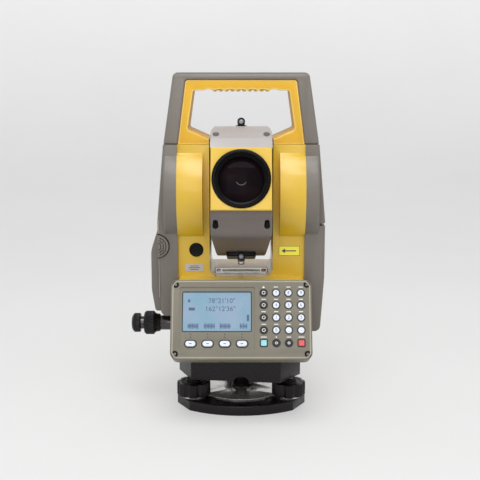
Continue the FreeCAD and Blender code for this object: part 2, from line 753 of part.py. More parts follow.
def telescope_body():
    """The square body on its cross shaft, with the neck and spigot that carry the rear rings."""
    front_edge_r = 1.2
    shaft_half = 58.0
    spigot_end = 75.0
    light_path_r = 6.0
    body = box(-SCOPE_HALF_X, SCOPE_HALF_X, SCOPE_FRONT, SCOPE_REAR, -SCOPE_HALF_Z, SCOPE_HALF_Z)
    body = body.makeFillet(front_edge_r, edges_on_plane(body, "y", SCOPE_FRONT))
    shaft = rod(Vector(-shaft_half, 0, 0), Vector(shaft_half, 0, 0), SHAFT_R)
    neck = scope_rod(SCOPE_REAR, NECK_END, NECK_R)
    spigot = scope_rod(NECK_END, spigot_end, SPIGOT_R)
    barrel_bore = scope_rod(SCOPE_FRONT, LIGHT_PATH_START, BARREL_R)
    light_path = scope_rod(LIGHT_PATH_START, spigot_end + 1.0, light_path_r)
    return scope_placed(without(joined([body, shaft, neck, spigot]), [barrel_bore, light_path]))


def objective_barrel():
    """The tube in the body's front, with a wider mouth and the ledge that the lens sits on."""
    mouth_r = 24.5
    mouth_depth = 5.0
    ledge_r = 20.0
    ledge_end = LENS_SEAT + 5.0
    rim_chamfer = 0.8
    barrel = scope_rod(BARREL_FRONT, LIGHT_PATH_START, BARREL_R)
    barrel = barrel.cut(scope_rod(BARREL_FRONT, LIGHT_PATH_START, BARREL_BORE_R))
    barrel = barrel.cut(scope_rod(BARREL_FRONT, BARREL_FRONT + mouth_depth, mouth_r))
    ledge = scope_rod(LENS_SEAT, ledge_end, BARREL_BORE_R + 0.5).cut(scope_rod(LENS_SEAT, ledge_end, ledge_r))
    barrel = joined([barrel, ledge])
    return scope_placed(barrel.makeChamfer(rim_chamfer, edges_on_plane(barrel, "y", BARREL_FRONT)[:1]))


def objective_lens():
    """A thick glass disc with a bulging front, seated against the barrel's ledge."""
    thickness = 4.0
    bulge = 3.0
    front = LENS_SEAT - thickness
    disc = scope_rod(front, LENS_SEAT, BARREL_BORE_R)
    sphere_r = (BARREL_BORE_R ** 2 + bulge ** 2) / (2 * bulge)
    dome = Part.makeSphere(sphere_r, Vector(0, front - bulge + sphere_r, 0))
    return scope_placed(joined([disc, dome.common(scope_rod(front - bulge, front, BARREL_BORE_R))]))


def scope_cover(side_outline, half_outline):
    """A cover from its outline seen from the side and the right half of its outline from the front."""
    side = across_x(side_outline, -FAR, FAR)
    front = across_y(mirrored(half_outline)[::-1] + half_outline[::-1], -FAR, FAR)
    return scope_placed(side.common(front))


def telescope_top_cover():
    low = SCOPE_HALF_Z
    side = [(-70, low), (-63, 41, 4), (-36, 59, 16), (24, 60, 16), (SCOPE_REAR, 47, 6), (SCOPE_REAR, low)]
    return scope_cover(side, [(29.6, low), (29.6, 52, 14), (24.5, 61, 5)])


def telescope_bottom_cover():
    high = -SCOPE_HALF_Z
    side = [(-71, high), (-59.5, -53.5, 9), (-34, -64.5, 14), (24, -65, 16), (SCOPE_REAR, -50, 8),
            (SCOPE_REAR, high)]
    return scope_cover(side, [(29.2, high), (29.2, -52, 9), (24.5, -66, 6)])


def sights():
    """The collimator on each cover: a short tube on its block, and the lower one's lock pin."""
    rear = 16.0
    top_z = 64.0
    bottom_z = -69.8
    top_block = box(-6, 6, -20, 10, top_z - SIGHT_TUBE_R - 0.2, top_z - 1.5)
    bottom_block = box(-14.5, 14.5, -24, 14, bottom_z + 0.8, bottom_z + 4.8)
    lock_pin = post(3.2, -76, -70, Vector(0, -6, 0))
    top = joined([scope_rod(-33, rear, SIGHT_TUBE_R, top_z), top_block])
    bottom = joined([scope_rod(-29, rear, SIGHT_TUBE_R, bottom_z), bottom_block, lock_pin])
    return scope_placed(Part.makeCompound([top, bottom]))


def vertical_circle():
    """The graduated disc on the cross shaft, inside the left pillar."""
    inner = 50.0
    thickness = 3.0
    return scope_placed(tube(Vector(-inner - thickness, 0, 0), Vector(-inner, 0, 0), 34.0, SHAFT_R))


def scope_ring(start, end, outer, inner, rim_chamfer):
    """A ring that turns on the telescope's neck or spigot."""
    ring = tube(Vector(0, start, 0), Vector(0, end, 0), outer, inner + RUNNING_GAP)
    return scope_placed(ring.makeChamfer(rim_chamfer, edges_on_plane(ring, "y", end)[:1]))


# ---------------------------------------------------------------- all nodes

def build():
    parts = {
        "base_plate": base_plate(),
        "spring_plate": spring_plate(),
        "tribrach_body": tribrach_body(),
        "clamp_lever": clamp_lever(),
        "circular_level": circular_level(),
        "yoke_frame": yoke_frame(),
        "left_case": left_case(),
        "right_case": right_case(),
        "battery_pack": battery_pack(),
        "battery_latch": battery_latch(),
        "plummet_ring": plummet_ring(),
        "handle_shell": handle_shell(),
        "handle_grip": handle_grip(),
        "plate_level": plate_level(),
        "main_spindle": main_spindle(),
        "horizontal_circle": horizontal_circle(),
        "keyboard_housing": keyboard_housing(),
        "display_window": display_window(),
        "circuit_board": circuit_board(),
        "cover_screws": cover_screws(),
        "telescope_body": telescope_body(),
        "objective_barrel": objective_barrel(),
        "objective_lens": objective_lens(),
        "telescope_top_cover": telescope_top_cover(),
        "telescope_bottom_cover": telescope_bottom_cover(),
        "sights": sights(),
        "vertical_circle": vertical_circle(),
        "focus_ring": scope_ring(SCOPE_REAR + 0.3, NECK_END - 0.5, 25.0, NECK_R, 1.0),
        "eyepiece_ring": scope_ring(NECK_END + 0.5, NECK_END + 17.0, 16.0, SPIGOT_R, 1.5),
    }
    for name, angle in FOOT_ANGLES.items():
        parts["foot_screw_" + name] = foot_screw(angle)
    parts["horizontal_clamp"], parts["horizontal_tangent"] = knob_pair(HORIZONTAL_KNOBS, Vector(-1, 0, 0))
    parts["vertical_clamp"], parts["vertical_tangent"] = knob_pair(VERTICAL_KNOBS, Vector(0, 1, 0))
    for name, x, y, kind in key_layout():
        parts[name] = key(x, y, kind)
    return parts


for node, shape in build().items():
    print(node, "solids", len(shape.Solids), "valid", shape.isValid(), "volume", round(shape.Volume))
    shape.exportStep("parts/%s.step" % node)
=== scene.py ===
import json
import math

import bmesh
import bpy
from mathutils import Matrix, Vector


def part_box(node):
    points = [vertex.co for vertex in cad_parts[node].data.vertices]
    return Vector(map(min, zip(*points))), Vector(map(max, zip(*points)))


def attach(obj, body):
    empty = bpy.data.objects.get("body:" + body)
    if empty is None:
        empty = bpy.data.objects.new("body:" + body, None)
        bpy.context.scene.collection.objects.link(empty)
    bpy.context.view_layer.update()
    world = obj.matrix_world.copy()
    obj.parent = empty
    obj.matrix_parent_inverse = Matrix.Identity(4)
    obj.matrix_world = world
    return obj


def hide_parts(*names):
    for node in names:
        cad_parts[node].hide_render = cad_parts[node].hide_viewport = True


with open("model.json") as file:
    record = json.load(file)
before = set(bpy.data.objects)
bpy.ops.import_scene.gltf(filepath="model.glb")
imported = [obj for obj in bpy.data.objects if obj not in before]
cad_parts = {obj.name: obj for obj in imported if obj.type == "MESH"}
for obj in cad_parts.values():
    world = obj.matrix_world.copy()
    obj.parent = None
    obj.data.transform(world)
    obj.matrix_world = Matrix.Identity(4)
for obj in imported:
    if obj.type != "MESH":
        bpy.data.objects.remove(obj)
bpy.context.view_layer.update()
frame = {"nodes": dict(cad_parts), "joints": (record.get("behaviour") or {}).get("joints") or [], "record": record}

# The looks of a surveying total station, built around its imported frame. Shapes are worked out in
# millimetres in the frame's axes (x right, y back, z up) and turned into metres when a mesh is made.

MM = 0.001
X_AXIS = Vector((1, 0, 0))
Y_AXIS = Vector((0, 1, 0))
Z_AXIS = Vector((0, 0, 1))


def box_mm(node):
    low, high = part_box(node)
    return low / MM, high / MM


def centre_mm(node):
    low, high = box_mm(node)
    return (low + high) / 2


def joint(name):
    return next(j for j in frame["joints"] if j["name"] == name)


def tone(red, green, blue):
    """A linear colour from the usual 0 to 255 values."""
    def linear(value):
        share = value / 255
        return share / 12.92 if share <= 0.04045 else ((share + 0.055) / 1.055) ** 2.4
    return (linear(red), linear(green), linear(blue), 1.0)


def shade(color, factor):
    return (color[0] * factor, color[1] * factor, color[2] * factor, 1.0)


# ---------------------------------------------------------------- materials

class Graph:
    """A material's node tree with short ways to add and join nodes."""

    def __init__(self, name):
        self.material = bpy.data.materials.new(name)
        self.material.use_nodes = True
        self.tree = self.material.node_tree
        self.tree.nodes.clear()

    def add(self, kind, inputs=None, **settings):
        node = self.tree.nodes.new(kind)
        for key, value in settings.items():
            setattr(node, key, value)
        for key, value in (inputs or {}).items():
            if isinstance(value, bpy.types.NodeSocket):
                self.tree.links.new(value, node.inputs[key])
            else:
                node.inputs[key].default_value = value
        return node

    def millimetres(self):
        """The piece's own coordinates in millimetres, so a texture keeps its real scale."""
        coords = self.add("ShaderNodeTexCoord")
        scaled = self.add("ShaderNodeVectorMath", {0: coords.outputs["Object"], 1: (1 / MM,) * 3},
                          operation="MULTIPLY")
        return scaled.outputs[0]

    def noise(self, vector, size, detail=2.0, rough=0.5):
        node = self.add("ShaderNodeTexNoise", {"Vector": vector, "Scale": 1 / size, "Detail": detail,
                                               "Roughness": rough})
        return node.outputs["Fac"]

    def spread(self, value, low, high, to_low=0.0, to_high=1.0):
        node = self.add("ShaderNodeMapRange", {"Value": value, "From Min": low, "From Max": high,
                                               "To Min": to_low, "To Max": to_high})
        return node.outputs["Result"]

    def math(self, operation, first, second=0.0):
        return self.add("ShaderNodeMath", {0: first, 1: second}, operation=operation).outputs[0]

    def mix(self, factor, first, second):
        node = self.add("ShaderNodeMix", data_type="RGBA")
        for index, value in ((0, factor), (6, first), (7, second)):
            if isinstance(value, bpy.types.NodeSocket):
                self.tree.links.new(value, node.inputs[index])
            else:
                node.inputs[index].default_value = value
        return node.outputs[2]

    def bump(self, height, depth_mm, normal=None):
        inputs = {"Height": height, "Distance": depth_mm * MM, "Strength": 1.0}
        if normal is not None:
            inputs["Normal"] = normal
        return self.add("ShaderNodeBump", inputs).outputs["Normal"]

    def edges(self, radius_mm):
        """1 along convex and concave edges, 0 on open surfaces."""
        rounded = self.add("ShaderNodeBevel", {"Radius": radius_mm * MM}, samples=4)
        real = self.add("ShaderNodeNewGeometry")
        dot = self.add("ShaderNodeVectorMath", {0: rounded.outputs[0], 1: real.outputs["Normal"]},
                       operation="DOT_PRODUCT")
        return self.spread(dot.outputs["Value"], 0.995, 0.90)

    def finish(self, **inputs):
        shader = self.add("ShaderNodeBsdfPrincipled", {k.replace("_", " "): v for k, v in inputs.items()})
        self.add("ShaderNodeOutputMaterial", {"Surface": shader.outputs[0]})
        return self.material


def coated(name, color, roughness, grain=0.5, depth=0.012, variation=0.08, wear=0.25, wear_and_highlight_color=None,
           metallic=0.0, coat=0.0, specular=0.5, painted_edge_highlight=0.0):
    """Paint or moulded plastic: fine grain, slow colour drift, dust in roughness and rubbed edges, and, where the
    edge-line amount is set, a painted highlight along every edge in the light wear colour.
    """
    g = Graph(name)
    at = g.millimetres()
    fine = g.noise(at, grain, 3.0, 0.6)
    slow = g.noise(at, 34.0, 3.0)
    smudge = g.noise(at, 7.0, 4.0, 0.7)
    body = g.mix(g.spread(slow, 0.3, 0.7), shade(color, 1 - variation), shade(color, 1 + variation))
    body = g.mix(g.spread(fine, 0.35, 0.75, 0.0, 0.35), body, shade(color, 1 - 1.6 * variation))
    rubbed = g.math("MULTIPLY", g.edges(0.5), g.spread(smudge, 0.42, 0.66))
    rubbed = g.math("MULTIPLY", rubbed, wear)
    # Rubbed wear, and a painted highlight along every edge scaled by the edge-line amount; both take the light
    # wear colour.
    body = g.mix(g.math("MAXIMUM", rubbed, g.math("MULTIPLY", g.edges(2.4), painted_edge_highlight)), body,
                 wear_and_highlight_color or shade(color, 1.7))
    rough = g.spread(smudge, 0.3, 0.7, roughness - 0.06, roughness + 0.08)
    return g.finish(Base_Color=body, Roughness=rough, Metallic=metallic, Normal=g.bump(fine, depth),
                    Coat_Weight=coat, Coat_Roughness=0.32, Coat_IOR=1.5,
                    Specular_IOR_Level=specular)


def metal(name, color, roughness, streak=0.25, depth=0.004):
    """Turned or brushed metal: fine circular tool marks and a few duller patches."""
    g = Graph(name)
    at = g.millimetres()
    stretched = g.add("ShaderNodeVectorMath", {0: at, 1: (4.0, 4.0, 0.4)}, operation="MULTIPLY").outputs[0]
    lines = g.noise(stretched, streak, 4.0, 0.7)
    patch = g.noise(at, 5.0, 3.0)
    body = g.mix(g.spread(patch, 0.35, 0.7), shade(color, 0.82), color)
    rough = g.spread(lines, 0.3, 0.7, roughness - 0.05, roughness + 0.1)
    return g.finish(Base_Color=body, Metallic=1.0, Roughness=rough, Normal=g.bump(lines, depth))


def clear(name, color, roughness=0.03, dirt=0.05):
    """Optical glass with a faint tint and a little dust."""
    g = Graph(name)
    at = g.millimetres()
    dust = g.noise(at, 1.2, 5.0, 0.8)
    rough = g.spread(dust, 0.55, 0.8, roughness, roughness + dirt)
    tint = g.mix(g.spread(g.noise(at, 12.0), 0.3, 0.7), color, shade(color, 0.94))
    return g.finish(Base_Color=tint, Roughness=rough, Transmission_Weight=1.0, IOR=1.5,
                    Normal=g.bump(dust, 0.0005))


def lens_coating(name):
    """Dark coated objective glass: nearly black, with a faint sheen that drifts between grey and violet."""
    g = Graph(name)
    at = g.millimetres()
    drift = g.noise(at, 22.0, 1.0)
    body = g.mix(g.spread(drift, 0.35, 0.65), (0.006, 0.004, 0.005, 1), (0.010, 0.006, 0.007, 1))
    sheen = g.mix(g.spread(drift, 0.4, 0.6), (0.6, 0.6, 0.7, 1), (0.75, 0.6, 0.7, 1))
    dust = g.noise(at, 0.9, 5.0, 0.8)
    return g.finish(Base_Color=body, Roughness=g.spread(dust, 0.5, 0.8, 0.04, 0.10), Specular_Tint=sheen,
                    Specular_IOR_Level=0.035, Normal=g.bump(dust, 0.0004))


def liquid_crystal(name):
    """The display's blue-grey ground: a faint grid of dots, uneven tone, and a weak emission that is painted
    light, making the display look lit.
    """
    g = Graph(name)
    at = g.millimetres()
    glow = g.noise(at, 26.0, 1.0)
    ground = g.mix(g.spread(glow, 0.35, 0.65), tone(100, 138, 160), tone(118, 141, 164))
    dots = g.add("ShaderNodeTexVoronoi", {"Vector": at, "Scale": 2.6, "Randomness": 0.0}).outputs["Distance"]
    ground = g.mix(g.spread(dots, 0.2, 0.5, 0.0, 0.10), ground, tone(100, 140, 165))
    # The weak emission is painted light that makes the display look lit; its unevenness follows the glow noise.
    return g.finish(Base_Color=ground, Roughness=g.spread(glow, 0.3, 0.7, 0.22, 0.30),
                    Emission_Color=ground, Emission_Strength=0.12, Coat_Weight=0.4, Coat_Roughness=0.08)


def printed(name, color, roughness=0.5):
    """Ink or a label's film: slightly uneven cover and a faint orange peel."""
    g = Graph(name)
    at = g.millimetres()
    cover = g.noise(at, 0.6, 3.0, 0.7)
    body = g.mix(g.spread(cover, 0.3, 0.75), color, shade(color, 0.86))
    return g.finish(Base_Color=body, Roughness=g.spread(cover, 0.3, 0.7, roughness - 0.05, roughness + 0.05),
                    Normal=g.bump(cover, 0.003))


def rubber(name, color, roughness=0.55):
    """Silicone keys: soft sheen, fine matt grain, finger shine in patches."""
    g = Graph(name)
    at = g.millimetres()
    fine = g.noise(at, 0.18, 2.0)
    shine = g.noise(at, 3.0, 2.0)
    body = g.mix(g.spread(shine, 0.35, 0.65), color, shade(color, 0.92))
    return g.finish(Base_Color=body, Roughness=g.spread(shine, 0.3, 0.7, roughness - 0.12, roughness),
                    Normal=g.bump(fine, 0.004), Sheen_Weight=0.15)


def studio(name, color, floor_glow, wall_glow):
    """The pale floor and backdrop, with the faintest mottling and a glow like a lit tent's."""
    g = Graph(name)
    at = g.millimetres()
    drift = g.noise(at, 260.0, 2.0)
    height = g.add("ShaderNodeSeparateXYZ", {0: at}).outputs["Z"]
    glow = g.spread(height, 0, 900, floor_glow, wall_glow)
    body = g.mix(g.spread(drift, 0.35, 0.65), color, shade(color, 0.985))
    return g.finish(Base_Color=body, Roughness=0.8, Specular_IOR_Level=0.1, Emission_Color=body,
                    Emission_Strength=glow)


# Each material's recipe: the function that builds it, its colour and the rest of its settings.
RECIPES = {
    "yellow_enamel": (coated, tone(208, 170, 30), dict(
        roughness=0.36, grain=0.9, depth=0.010, variation=0.04, wear=0.30, wear_and_highlight_color=tone(240, 212, 120),
        coat=0.7)),
    # The grip's plastic has its own yellow, set a little darker than the enamel's partly as painted shade for the
    # grip's sloping top bar.
    "yellow_plastic": (coated, tone(206, 160, 40), dict(
        roughness=0.48, grain=0.7, depth=0.008, variation=0.04, wear=0.4, wear_and_highlight_color=tone(250, 232, 170),
        # The edge-line amount lays a painted highlight along the grip's edges.
        specular=0.3, painted_edge_highlight=0.8)),
    "case_grey": (coated, tone(110, 104, 97), dict(
        roughness=0.36, grain=0.35, depth=0.014, variation=0.07, wear=0.35,
        wear_and_highlight_color=tone(168, 162, 152))),
    "cover_grey": (coated, tone(168, 164, 163), dict(
        roughness=0.34, grain=0.35, depth=0.014, variation=0.06, wear=0.3,
        wear_and_highlight_color=tone(205, 200, 198))),
    # A darker copy of the cover grey for the telescope's bottom cover: painted shade for a cover that faces down.
    "cover_dark": (coated, tone(100, 92, 87), dict(
        roughness=0.36, grain=0.35, depth=0.014, variation=0.06, wear=0.3,
        wear_and_highlight_color=tone(165, 158, 150))),
    "panel_grey": (coated, tone(115, 110, 96), dict(
        roughness=0.46, grain=0.4, depth=0.014, variation=0.06, wear=0.35,
        wear_and_highlight_color=tone(186, 180, 162))),
    "panel_light": (coated, tone(158, 153, 136), dict(
        roughness=0.45, grain=0.4, depth=0.012, variation=0.05, wear=0.4,
        wear_and_highlight_color=tone(214, 208, 190))),
    "tribrach_black": (coated, tone(20, 15, 17), dict(
        roughness=0.28, grain=0.6, depth=0.003, variation=0.03, wear=0.12, wear_and_highlight_color=tone(96, 90, 90),
        specular=0.28)),
    "knob_black": (coated, tone(16, 12, 13), dict(
        roughness=0.30, grain=0.3, depth=0.005, variation=0.10, wear=0.15, wear_and_highlight_color=tone(90, 86, 86),
        specular=0.25)),
    "barrel_black": (coated, tone(6, 4, 5), dict(
        roughness=0.28, grain=0.4, depth=0.0015, variation=0.1, wear=0.06, wear_and_highlight_color=tone(80, 74, 76),
        specular=0.11)),
    "screw_black": (coated, tone(12, 9, 9), dict(roughness=0.4, variation=0.1, wear=0.1, specular=0.15)),
    "screw_grey": (coated, tone(104, 99, 97), dict(roughness=0.35, variation=0.1, wear=0.4)),
    "plated_steel": (coated, tone(205, 200, 198), dict(
        roughness=0.18, grain=5.0, depth=0.001, variation=0.02, wear=0.0, metallic=0.8)),
    # Pale grey for the sighting tubes' small windows: a painted highlight for the light seen in their glass.
    "sight_glass": (coated, tone(112, 116, 122), dict(
        roughness=0.12, grain=0.8, depth=0.001, variation=0.05, wear=0.0, coat=0.8)),
    "vial": (coated, tone(206, 212, 178), dict(
        roughness=0.12, grain=3.0, depth=0.001, variation=0.04, wear=0.0, coat=1.0)),
    "bare_steel": (metal, tone(196, 192, 190), dict(roughness=0.26)),
    "dark_nickel": (metal, tone(84, 80, 82), dict(roughness=0.14)),
    "level_metal": (metal, tone(222, 216, 216), dict(roughness=0.34)),
    "brass": (metal, tone(170, 128, 74), dict(roughness=0.28)),
    "clear_glass": (clear, (0.92, 0.96, 0.98, 1), {}),
    "key_white": (rubber, tone(218, 226, 238), {}),
    "key_dark": (rubber, tone(22, 20, 22), dict(roughness=0.4)),
    "key_blue": (rubber, tone(150, 216, 226), {}),
    "key_red": (rubber, tone(222, 90, 88), {}),
    "board_green": (printed, tone(24, 92, 44), dict(roughness=0.4)),
    "ink_key": (printed, tone(84, 92, 128), {}),
    "ink_black": (printed, tone(38, 36, 36), {}),
    "ink_white": (printed, tone(228, 226, 222), {}),
    "ink_dark": (printed, tone(58, 60, 76), {}),
    "ink_screen": (printed, tone(66, 84, 120), dict(roughness=0.3)),
    "mark_dim": (printed, tone(92, 88, 92), dict(roughness=0.4)),
    "label_silver": (printed, tone(188, 184, 182), dict(roughness=0.35)),
    "label_yellow": (printed, tone(246, 232, 70), dict(roughness=0.4)),
    "seam_dark": (printed, tone(30, 27, 25), dict(roughness=0.7)),
    "backdrop": (studio, tone(176, 176, 176), dict(floor_glow=0.82, wall_glow=1.36)),
}

MATERIALS = {name: build(name, color, **settings) for name, (build, color, settings) in RECIPES.items()}
MATERIALS["lens"] = lens_coating("lens")
MATERIALS["screen_glass"] = liquid_crystal("screen_glass")


# ---------------------------------------------------------------- meshes

def in_scene(name, data):
    """A new object for a mesh, light or camera, linked into the scene."""
    obj = bpy.data.objects.new(name, data)
    bpy.context.scene.collection.objects.link(obj)
    return obj


def metre_mesh(name, bm):
    """A mesh in metres from a shape in millimetres, with its faces turned outwards."""
    bmesh.ops.recalc_face_normals(bm, faces=bm.faces)
    bmesh.ops.scale(bm, vec=(MM, MM, MM), verts=bm.verts)
    mesh = bpy.data.meshes.new(name)
    bm.to_mesh(mesh)
    bm.free()
    return mesh


def make_piece(name, bm, material, body, smooth_angle=35.0):
    """A shape in millimetres becomes a piece in metres that rides on a body."""
    bmesh.ops.remove_doubles(bm, verts=bm.verts, dist=0.0005)
    piece = in_scene(name, metre_mesh(name, bm))
    piece.data.materials.append(MATERIALS[material])
    smooth(piece.data, smooth_angle)
    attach(piece, body)
    return piece


def smooth(mesh, angle=35.0):
    for polygon in mesh.polygons:
        polygon.use_smooth = True
    mesh.set_sharp_from_angle(angle=math.radians(angle))


def side_axes(out):
    """Two directions square to out and to each other."""
    helper = Z_AXIS if abs(out.z) < 0.8 else X_AXIS
    right = helper.cross(out).normalized()
    return right, out.cross(right).normalized()


def lathe(bm, base, out, profile, segments=72):
    """A turned shape about the line from base along out. A profile point is (along, radius), or
    (along, radius, cut) where cut gives the change of radius at an angle. Open ends are capped."""
    right, up = side_axes(out)
    rings = []
    for point in profile:
        cut = point[2] if len(point) > 2 else None
        ring = []
        for i in range(segments):
            angle = 2 * math.pi * i / segments
            radius = point[1] + (cut(angle) if cut else 0)
            spoke = right * math.cos(angle) + up * math.sin(angle)
            ring.append(bm.verts.new(base + out * point[0] + spoke * radius))
        rings.append(ring)
    for a, b in zip(rings, rings[1:]):
        for i in range(segments):
            j = (i + 1) % segments
            bm.faces.new((a[i], a[j], b[j], b[i]))
    looped = abs(profile[0][0] - profile[-1][0]) + abs(profile[0][1] - profile[-1][1]) < 1e-6
    if not looped:
        for ring, point in ((rings[0], profile[0]), (rings[-1], profile[-1])):
            if point[1] > 0.001:
                bm.faces.new(ring)
    return bm


def fluted(count, depth):
    """Fine ribs: the radius is cut back by up to depth between count crests."""
    def cut(angle):
        return -depth * (0.5 - 0.5 * math.cos(angle * count)) ** 2
    return cut


def scalloped(count, radius, reach, scallop_r, ribs, rib_depth):
    """Round scallops cut into a knob's rim, with fine ribs on the lobes that are left."""
    pitch = 2 * math.pi / count
    fine = fluted(ribs, rib_depth)
    def cut(angle):
        offset = angle % pitch - pitch / 2
        side = reach * math.sin(offset)
        if abs(side) >= scallop_r:
            return fine(angle)
        return min(fine(angle), reach * math.cos(offset) - math.sqrt(scallop_r ** 2 - side ** 2) - radius)
    return cut


def thread(start, end, radius, pitch, depth):
    """Profile points of a threaded stretch."""
    points = []
    turns = int((end - start) / pitch)
    for turn in range(turns):
        points.append((start + turn * pitch, radius))
        points.append((start + (turn + 0.5) * pitch, radius - depth))
    points.append((end, radius))
    return points


def rounded_points(corners, steps=6):
    """Corner points (a, b, radius) turned into a closed outline with arcs."""
    points = []
    for i, (a, b, radius) in enumerate(corners):
        point = Vector((a, b))
        before = (Vector(corners[i - 1][:2]) - point).normalized()
        following = corners[(i + 1) % len(corners)]
        after = (Vector(following[:2]) - point).normalized()
        if radius <= 0:
            points.append(point)
            continue
        half = before.angle(after) / 2
        centre = point + (before + after).normalized() * (radius / math.sin(half))
        first = point + before * (radius / math.tan(half)) - centre
        last = point + after * (radius / math.tan(half)) - centre
        sweep = first.angle_signed(last)
        for step in range(steps + 1):
            spin = Matrix.Rotation(-sweep * step / steps, 2)
            points.append(centre + spin @ first)
    return points


def rectangle(width, height, radius, x=0.0, y=0.0):
    return [(x - width / 2, y - height / 2, radius), (x + width / 2, y - height / 2, radius),
            (x + width / 2, y + height / 2, radius), (x - width / 2, y + height / 2, radius)]


class Plane:
    """A flat working frame: right and up lie in it, out points away from the object."""

    def __init__(self, origin, right, up):
        self.origin = Vector(origin)
        self.right = Vector(right).normalized()
        self.up = Vector(up).normalized()
        self.out = self.right.cross(self.up).normalized()

    def at(self, x, y, out=0.0):
        return self.origin + self.right * x + self.up * y + self.out * out

    def local(self, point):
        offset = point - self.origin
        return Vector((offset.dot(self.right), offset.dot(self.up), offset.dot(self.out)))


def extent(node, plane):
    """Lowest and highest values of a CAD node in a plane's own axes."""
    points = [plane.local(vertex.co / MM) for vertex in frame["nodes"][node].data.vertices]
    low = Vector(min(p[i] for p in points) for i in range(3))
    high = Vector(max(p[i] for p in points) for i in range(3))
    return low, high


def middle_of(low, high):
    return (low.x + high.x) / 2, (low.y + high.y) / 2


def slab(bm, plane, points, low, high, bevel=0.0):
    """A flat plate with the given outline between two heights above a plane."""
    bottom = [bm.verts.new(plane.at(p[0], p[1], low)) for p in points]
    side_top = high - bevel
    top = [bm.verts.new(plane.at(p[0], p[1], side_top)) for p in points]
    layers = [bottom, top]
    if bevel > 0:
        middle = sum((Vector((p[0], p[1])) for p in points), Vector((0, 0))) / len(points)
        reach = max((Vector((p[0], p[1])) - middle).length for p in points)
        shrink = 1 - bevel / reach
        inner = [middle + (Vector((p[0], p[1])) - middle) * shrink for p in points]
        layers.append([bm.verts.new(plane.at(p.x, p.y, high)) for p in inner])
    count = len(points)
    for a, b in zip(layers, layers[1:]):
        for i in range(count):
            j = (i + 1) % count
            bm.faces.new((a[i], a[j], b[j], b[i]))
    bm.faces.new(layers[0])
    bm.faces.new(layers[-1])
    return bm


def frame_strip(bm, plane, outer, inner, low, high):
    """A flat ring between two outlines that have the same number of points."""
    count = len(outer)
    corners = []
    for level in (low, high):
        corners.append([bm.verts.new(plane.at(p[0], p[1], level)) for p in outer])
        corners.append([bm.verts.new(plane.at(p[0], p[1], level)) for p in inner])
    outer_low, inner_low, outer_high, inner_high = corners
    for i in range(count):
        j = (i + 1) % count
        bm.faces.new((outer_low[i], outer_low[j], outer_high[j], outer_high[i]))
        bm.faces.new((inner_low[j], inner_low[i], inner_high[i], inner_high[j]))
        bm.faces.new((outer_high[i], outer_high[j], inner_high[j], inner_high[i]))
        bm.faces.new((outer_low[j], outer_low[i], inner_low[i], inner_low[j]))
    return bm


def text_points(bm, text, plane, x, y, height, low, high, squeeze=1.0):
    """Printed characters as thin raised shapes, centred at x, y on a plane."""
    curve = bpy.data.curves.new("characters", "FONT")
    curve.body = text
    curve.align_x = "CENTER"
    curve.align_y = "CENTER"
    curve.size = height
    curve.resolution_u = 3
    source = bpy.data.objects.new("characters", curve)
    mesh = bpy.data.meshes.new_from_object(source)
    flat = bmesh.new()
    flat.from_mesh(mesh)
    bmesh.ops.remove_doubles(flat, verts=flat.verts, dist=0.001)
    lows = {v: bm.verts.new(plane.at(x + v.co.x * squeeze, y + v.co.y, low)) for v in flat.verts}
    highs = {v: bm.verts.new(plane.at(x + v.co.x * squeeze, y + v.co.y, high)) for v in flat.verts}
    for face in flat.faces:
        bm.faces.new([highs[v] for v in face.verts])
        bm.faces.new([lows[v] for v in reversed(face.verts)])
    for edge in flat.edges:
        if len(edge.link_faces) == 1:
            a, b = edge.verts
            bm.faces.new((lows[a], lows[b], highs[b], highs[a]))
    flat.free()
    bpy.data.objects.remove(source)
    bpy.data.curves.remove(curve)
    bpy.data.meshes.remove(mesh)


def turned(name, base, out, profile, segments, material, body, smooth_angle=35.0):
    """A piece that is a single turned shape."""
    bm = lathe(bmesh.new(), base, out, profile, segments)
    return make_piece(name, bm, material, body, smooth_angle)


def rounded_slab(bm, plane, size, at, low, high, bevel=0.0, steps=6):
    """A flat plate centred at a point of a plane; its size is (width, height, corner radius)."""
    return slab(bm, plane, rounded_points(rectangle(*size, *at), steps), low, high, bevel)


def rounded_ring(bm, plane, outer, inner, at, low, high, steps=6):
    """A flat ring between two rounded rectangles, each given as (width, height, corner radius)."""
    outlines = [rounded_points(rectangle(*size, *at), steps) for size in (outer, inner)]
    return frame_strip(bm, plane, *outlines, low, high)


def arc(radius, start, sweep, steps):
    """Points along an arc about the origin, from start on through sweep, both in degrees."""
    angles = [math.radians(start + sweep * i / steps) for i in range(steps + 1)]
    return [(radius * math.cos(angle), radius * math.sin(angle)) for angle in angles]


def arc_band(bm, plane, outer_r, inner_r, start, sweep, steps, low, high):
    """A curved bar between two radii about a plane's origin."""
    outline = arc(outer_r, start, sweep, steps) + arc(inner_r, start, sweep, steps)[::-1]
    return slab(bm, plane, outline, low, high)


def rounded_edges(piece, width, segments):
    """A bevel, width in millimetres, on a piece's edges."""
    bevel = piece.modifiers.new("rounded_edges", "BEVEL")
    bevel.width = width * MM
    bevel.segments = segments
    return bevel


